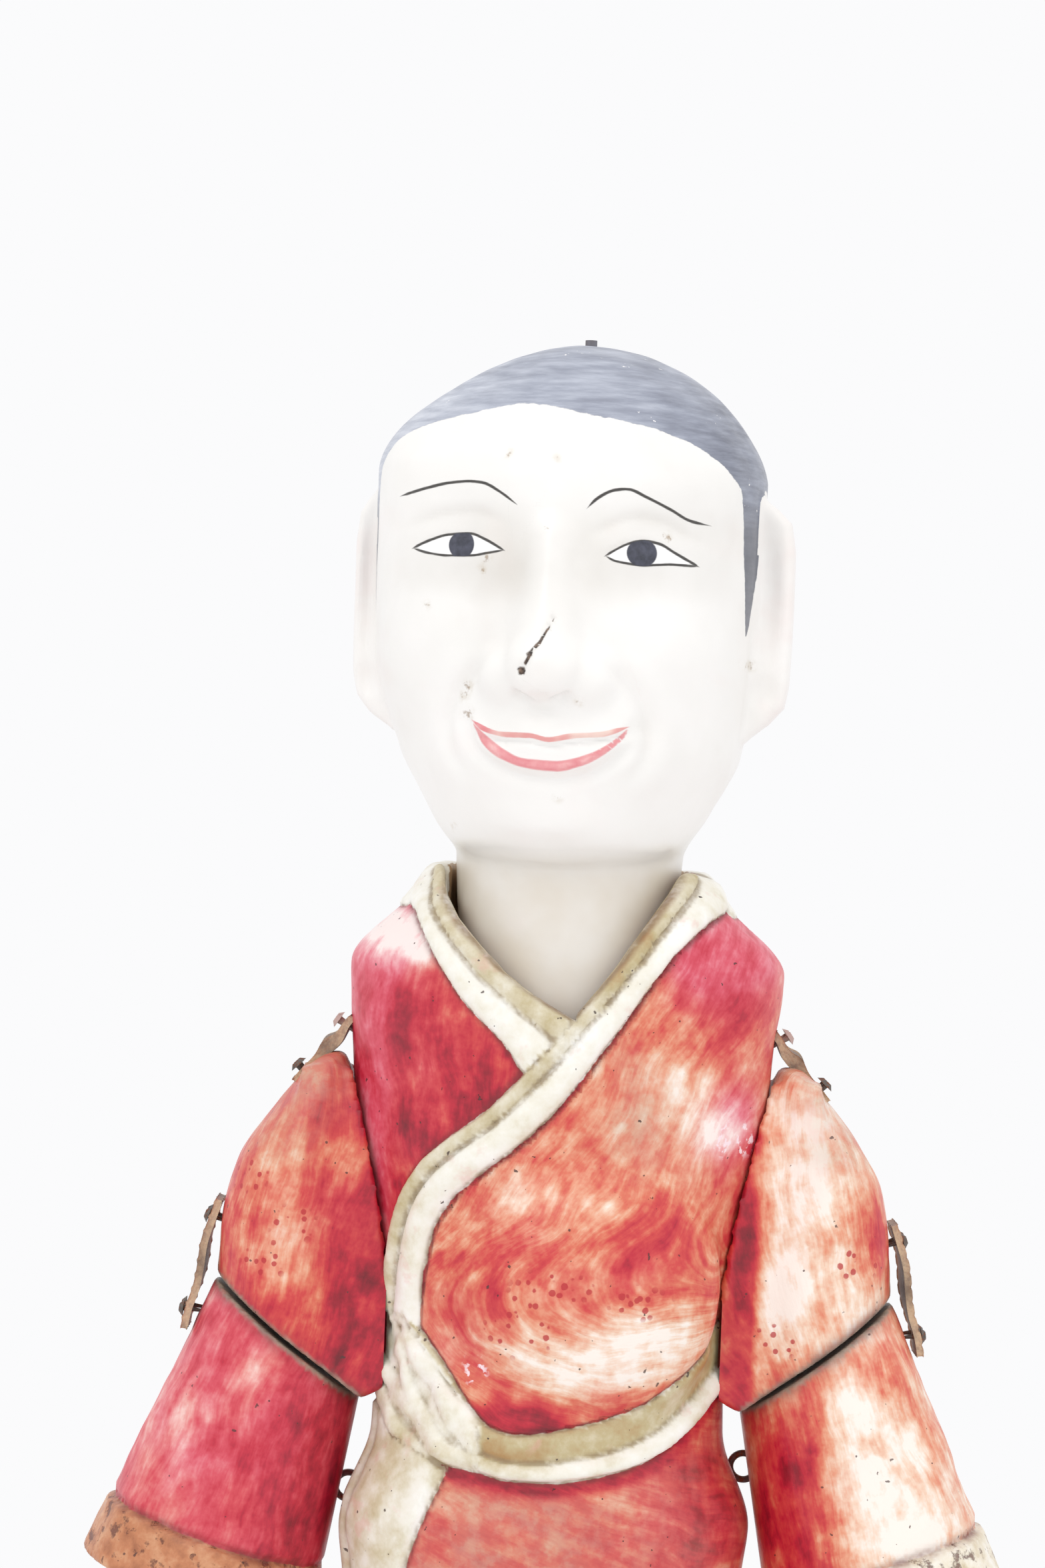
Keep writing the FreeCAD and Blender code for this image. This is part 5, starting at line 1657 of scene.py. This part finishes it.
def shoe_finish():
    f = Finish("worn_black_shoe_lacquer")
    broad = f.noise(150, 4, 0.6)
    fine = f.noise(600, 3)
    colour = f.ramp(broad, [(0.25, (26, 25, 28)), (0.6, (44, 42, 46)), (0.85, (72, 66, 66))])
    wear = f.add(f.times(f.value("toe"), 0.35), f.noise(230, 4, 0.65))
    colour = f.mix(f.rise(wear, 0.68, 0.78), colour, (158, 122, 88))
    sole = f.rise(f.add(f.value("sole"), f.swing(fine, 0.8)), -0.2, 0.2)
    colour = f.mix(sole, colour, f.ramp(broad, [(0.3, (232, 224, 206)), (0.7, (198, 180, 150))]))
    normal = f.bump(f.add(f.times(fine, 0.4), f.times(broad, 0.6)), 0.0003, 0.6)
    return f.done(colour, f.rise(broad, 0.3, 0.7, 0.24, 0.42), normal, Coat_Weight=0.3, Coat_Roughness=0.15)


def build_base():
    """A turned round base with a bead and a groove, and a bore for the ferrule."""
    segments = 168
    rings = []
    for (r0, z0), (r1, z1) in zip(BASE_PROFILE[:-1], BASE_PROFILE[1:]):
        count = max(1, int(math.hypot(r1 - r0, z1 - z0) / 2.4))
        for k in range(count):
            rings.append((r0 + (r1 - r0) * k / count, z0 + (z1 - z0) * k / count))
    rings.append(BASE_PROFILE[-1])
    rings += [(12.3, 12.0), (12.3, 6.0)]
    radii = np.array([r for r, _ in rings])
    heights = np.array([z for _, z in rings])
    angle = np.linspace(0, 2 * math.pi, segments, endpoint=False)
    around = np.stack([np.cos(angle), np.sin(angle), np.ones(segments)], -1)
    points = (np.stack([radii, radii, heights], -1)[:, None] * around).reshape(-1, 3)
    reach = np.hypot(points[:, 0], points[:, 1])
    worn = 0.18 * uneven(points, 26.0, 61) * ease(reach, 56, 62) * ease(points[:, 2], 0.2, 2.0)
    points[:, :2] *= (1 + worn / np.maximum(reach, 1))[:, None]
    reach = np.hypot(points[:, 0], points[:, 1])
    points[:, :2] *= np.minimum(1, 66.0 / np.maximum(reach, 1))[:, None]
    faces = []
    total = len(rings)
    for i in range(total):
        j = (i + 1) % total
        for k in range(segments):
            m = (k + 1) % segments
            faces.append((i * segments + k, i * segments + m, j * segments + m, j * segments + k))
    values = {
        "edge": ease(np.hypot(points[:, 0], points[:, 1]), 62.5, 66.0),
        "bare": np.maximum(ease(-points[:, 2], -0.6, -0.1), ease(-reach, -14.0, -12.8)),
        "groove": np.exp(-(((points[:, 2] - 6.3) / 1.0) ** 2)) * ease(reach, 60, 63)
        + np.exp(-(((reach - 51.8) / 1.2) ** 2)) * ease(points[:, 2], 16, 17),
    }
    piece = make_piece("turned_base", points, np.array(faces), values)
    stand_for(piece, "figure", "base_block", base_finish())


def base_finish():
    f = Finish("worn_dark_red_base_lacquer")
    broad = f.noise(38, 4, 0.6)
    mid = f.noise(170, 4, 0.62)
    fine = f.noise(620, 3)
    colour = f.ramp(broad, [(0.25, (52, 12, 14)), (0.55, (86, 20, 22)), (0.8, (112, 34, 30))])
    worn = f.add(f.times(f.value("edge"), 0.30), f.sum("SUBTRACT", mid, f.times(f.value("groove"), 0.3)))
    under = f.grain(90, 420, 300)
    wood = f.ramp(under, [(0.3, (140, 106, 76)), (0.6, (174, 140, 104)), (0.8, (200, 170, 134))])
    colour = f.mix(f.rise(worn, 0.66, 0.76), colour, wood)
    colour = f.mix(f.times(f.value("groove"), 0.7), colour, (24, 8, 8))
    colour = f.mix(f.value("bare"), colour, wood)
    normal = f.bump(f.add(f.times(fine, 0.35), f.times(f.rise(worn, 0.66, 0.76), -0.8)), 0.0004, 0.7)
    return f.done(colour, f.rise(mid, 0.3, 0.7, 0.22, 0.44), normal, Coat_Weight=0.35, Coat_Roughness=0.15)


# ---------------------------------------------------------------- finishes of the CAD's own pieces


def wood_finish(name, pale, dark):
    f = Finish(name)
    lines = f.grain(620, 620, 49.6, 5, 0.62, 0.6)
    broad = f.noise(110, 3)
    colour = f.ramp(lines, [(0.28, dark), (0.62, pale), (0.85, dark)])
    colour = f.mix(f.rise(broad, 0.45, 0.8, 0.0, 0.4), colour, (118, 88, 62))
    normal = f.bump(f.add(f.times(lines, 0.7), f.times(f.noise(900, 2), 0.3)), 0.0002, 0.6)
    return f.done(colour, f.rise(lines, 0.3, 0.7, 0.5, 0.68), normal)


def iron_finish(name, painted):
    f = Finish(name)
    broad = f.noise(700, 4, 0.6)
    rust = f.rise(f.noise(1100, 4, 0.65), 0.46, 0.62)
    colour = f.ramp(broad, [(0.3, (78, 72, 68)), (0.7, (126, 118, 112))])
    colour = f.mix(rust, colour, (124, 72, 46))
    if painted:
        colour = f.mix(f.rise(f.noise(520, 3), 0.26, 0.46), colour, (186, 156, 148))
    normal = f.bump(broad, 0.0002, 0.8)
    return f.done(colour, f.rise(broad, 0.3, 0.7, 0.42, 0.66), normal, Metallic=0.0 if painted else 0.65)


def brass_finish():
    f = Finish("aged_ferrule_brass")
    broad = f.noise(180, 4, 0.6)
    scratch = f.grain(260, 260, 2600, 3, 0.5)
    colour = f.ramp(broad, [(0.3, (122, 92, 46)), (0.6, (176, 140, 74)), (0.85, (206, 174, 104))])
    normal = f.bump(scratch, 0.00012, 0.6)
    return f.done(colour, f.rise(broad, 0.3, 0.7, 0.28, 0.5), normal, Metallic=0.9)


def washer_finish():
    f = Finish("washer_leather")
    spots = f.noise(420, 4, 0.6)
    colour = f.ramp(spots, [(0.3, (84, 62, 50)), (0.7, (132, 104, 84))])
    return f.done(colour, f.rise(spots, 0.3, 0.7, 0.6, 0.8), f.bump(spots, 0.0003, 0.7))


def dress_cad_pieces():
    bamboo = wood_finish("split_bamboo", (214, 188, 128), (176, 146, 88))
    dowel = wood_finish("dowel_wood", (196, 164, 124), (150, 116, 80))
    dark = wood_finish("crown_peg_wood", (126, 126, 134), (92, 90, 96))
    iron = iron_finish("rusted_tack_iron", False)
    painted = iron_finish("painted_tack_iron", True)
    finishes = {
        "neck_pin": bamboo,
        "shoe_pegs": bamboo,
        "neck_dowel": dowel,
        "base_dowels": dowel,
        "crown_peg": dark,
        "neck_washer": washer_finish(),
        "pole_ferrule": brass_finish(),
        "shoulder_tacks": painted,
    }
    for side in SIDES:
        finishes["wrist_peg_" + side] = bamboo
        for kind in ("upper_arm_tacks_", "forearm_tacks_", "hip_guide_eye_"):
            finishes[kind + side] = iron
    for name, material in finishes.items():
        dress(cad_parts[name], material)


# ---------------------------------------------------------------- studio


def build_studio():
    """A plain pale floor, and soft light from a bright room and three large panels."""
    rings, spokes = 24, 96
    points = [(0.0, 0.0, 0.0)]
    for i in range(1, rings + 1):
        reach = 850.0 * i / rings
        for k in range(spokes):
            angle = 2 * math.pi * k / spokes
            points.append((reach * math.cos(angle), reach * math.sin(angle), -0.05))
    mesh = bpy.data.meshes.new("floor")
    faces = [(0, 1 + k, 1 + (k + 1) % spokes) for k in range(spokes)]
    for i in range(rings - 1):
        a, b = 1 + i * spokes, 1 + (i + 1) * spokes
        faces += [(a + k, b + k, b + (k + 1) % spokes, a + (k + 1) % spokes) for k in range(spokes)]
    mesh.from_pydata([Vector(p) * MM for p in points], [], faces)
    floor = bpy.data.objects.new("floor", mesh)
    bpy.context.scene.collection.objects.link(floor)
    f = Finish("pale_floor")
    tone = f.ramp(f.noise(6, 3), [(0.3, (244, 244, 245)), (0.7, (249, 249, 250))])
    dress(floor, f.done(tone, 0.7))

    world = bpy.data.worlds.new("studio")
    world.use_nodes = True
    back = world.node_tree.nodes["Background"]
    back.inputs["Color"].default_value = srgb(251, 251, 252)
    back.inputs["Strength"].default_value = 1.0
    bpy.context.scene.world = world
    bpy.context.scene.view_settings.view_transform = "Standard"

    for name, place, target, size, power in (
        ("key", (-0.55, -1.1, 1.25), (0, 0, 0.36), 0.9, 3.2),
        ("top", (0.15, -0.25, 1.5), (0, 0, 0.36), 0.8, 2.2),
        ("fill", (0.9, -0.9, 0.6), (0, 0, 0.30), 0.9, 0.7),
    ):
        data = bpy.data.lights.new(name, "AREA")
        data.size = size
        data.energy = power
        lamp = bpy.data.objects.new(name, data)
        bpy.context.scene.collection.objects.link(lamp)
        lamp.location = place
        lamp.rotation_euler = (Vector(target) - Vector(place)).to_track_quat("-Z", "Y").to_euler()


build_head()
build_robe()
build_arms()
build_straps()
build_shoes()
build_base()
dress_cad_pieces()
build_studio()
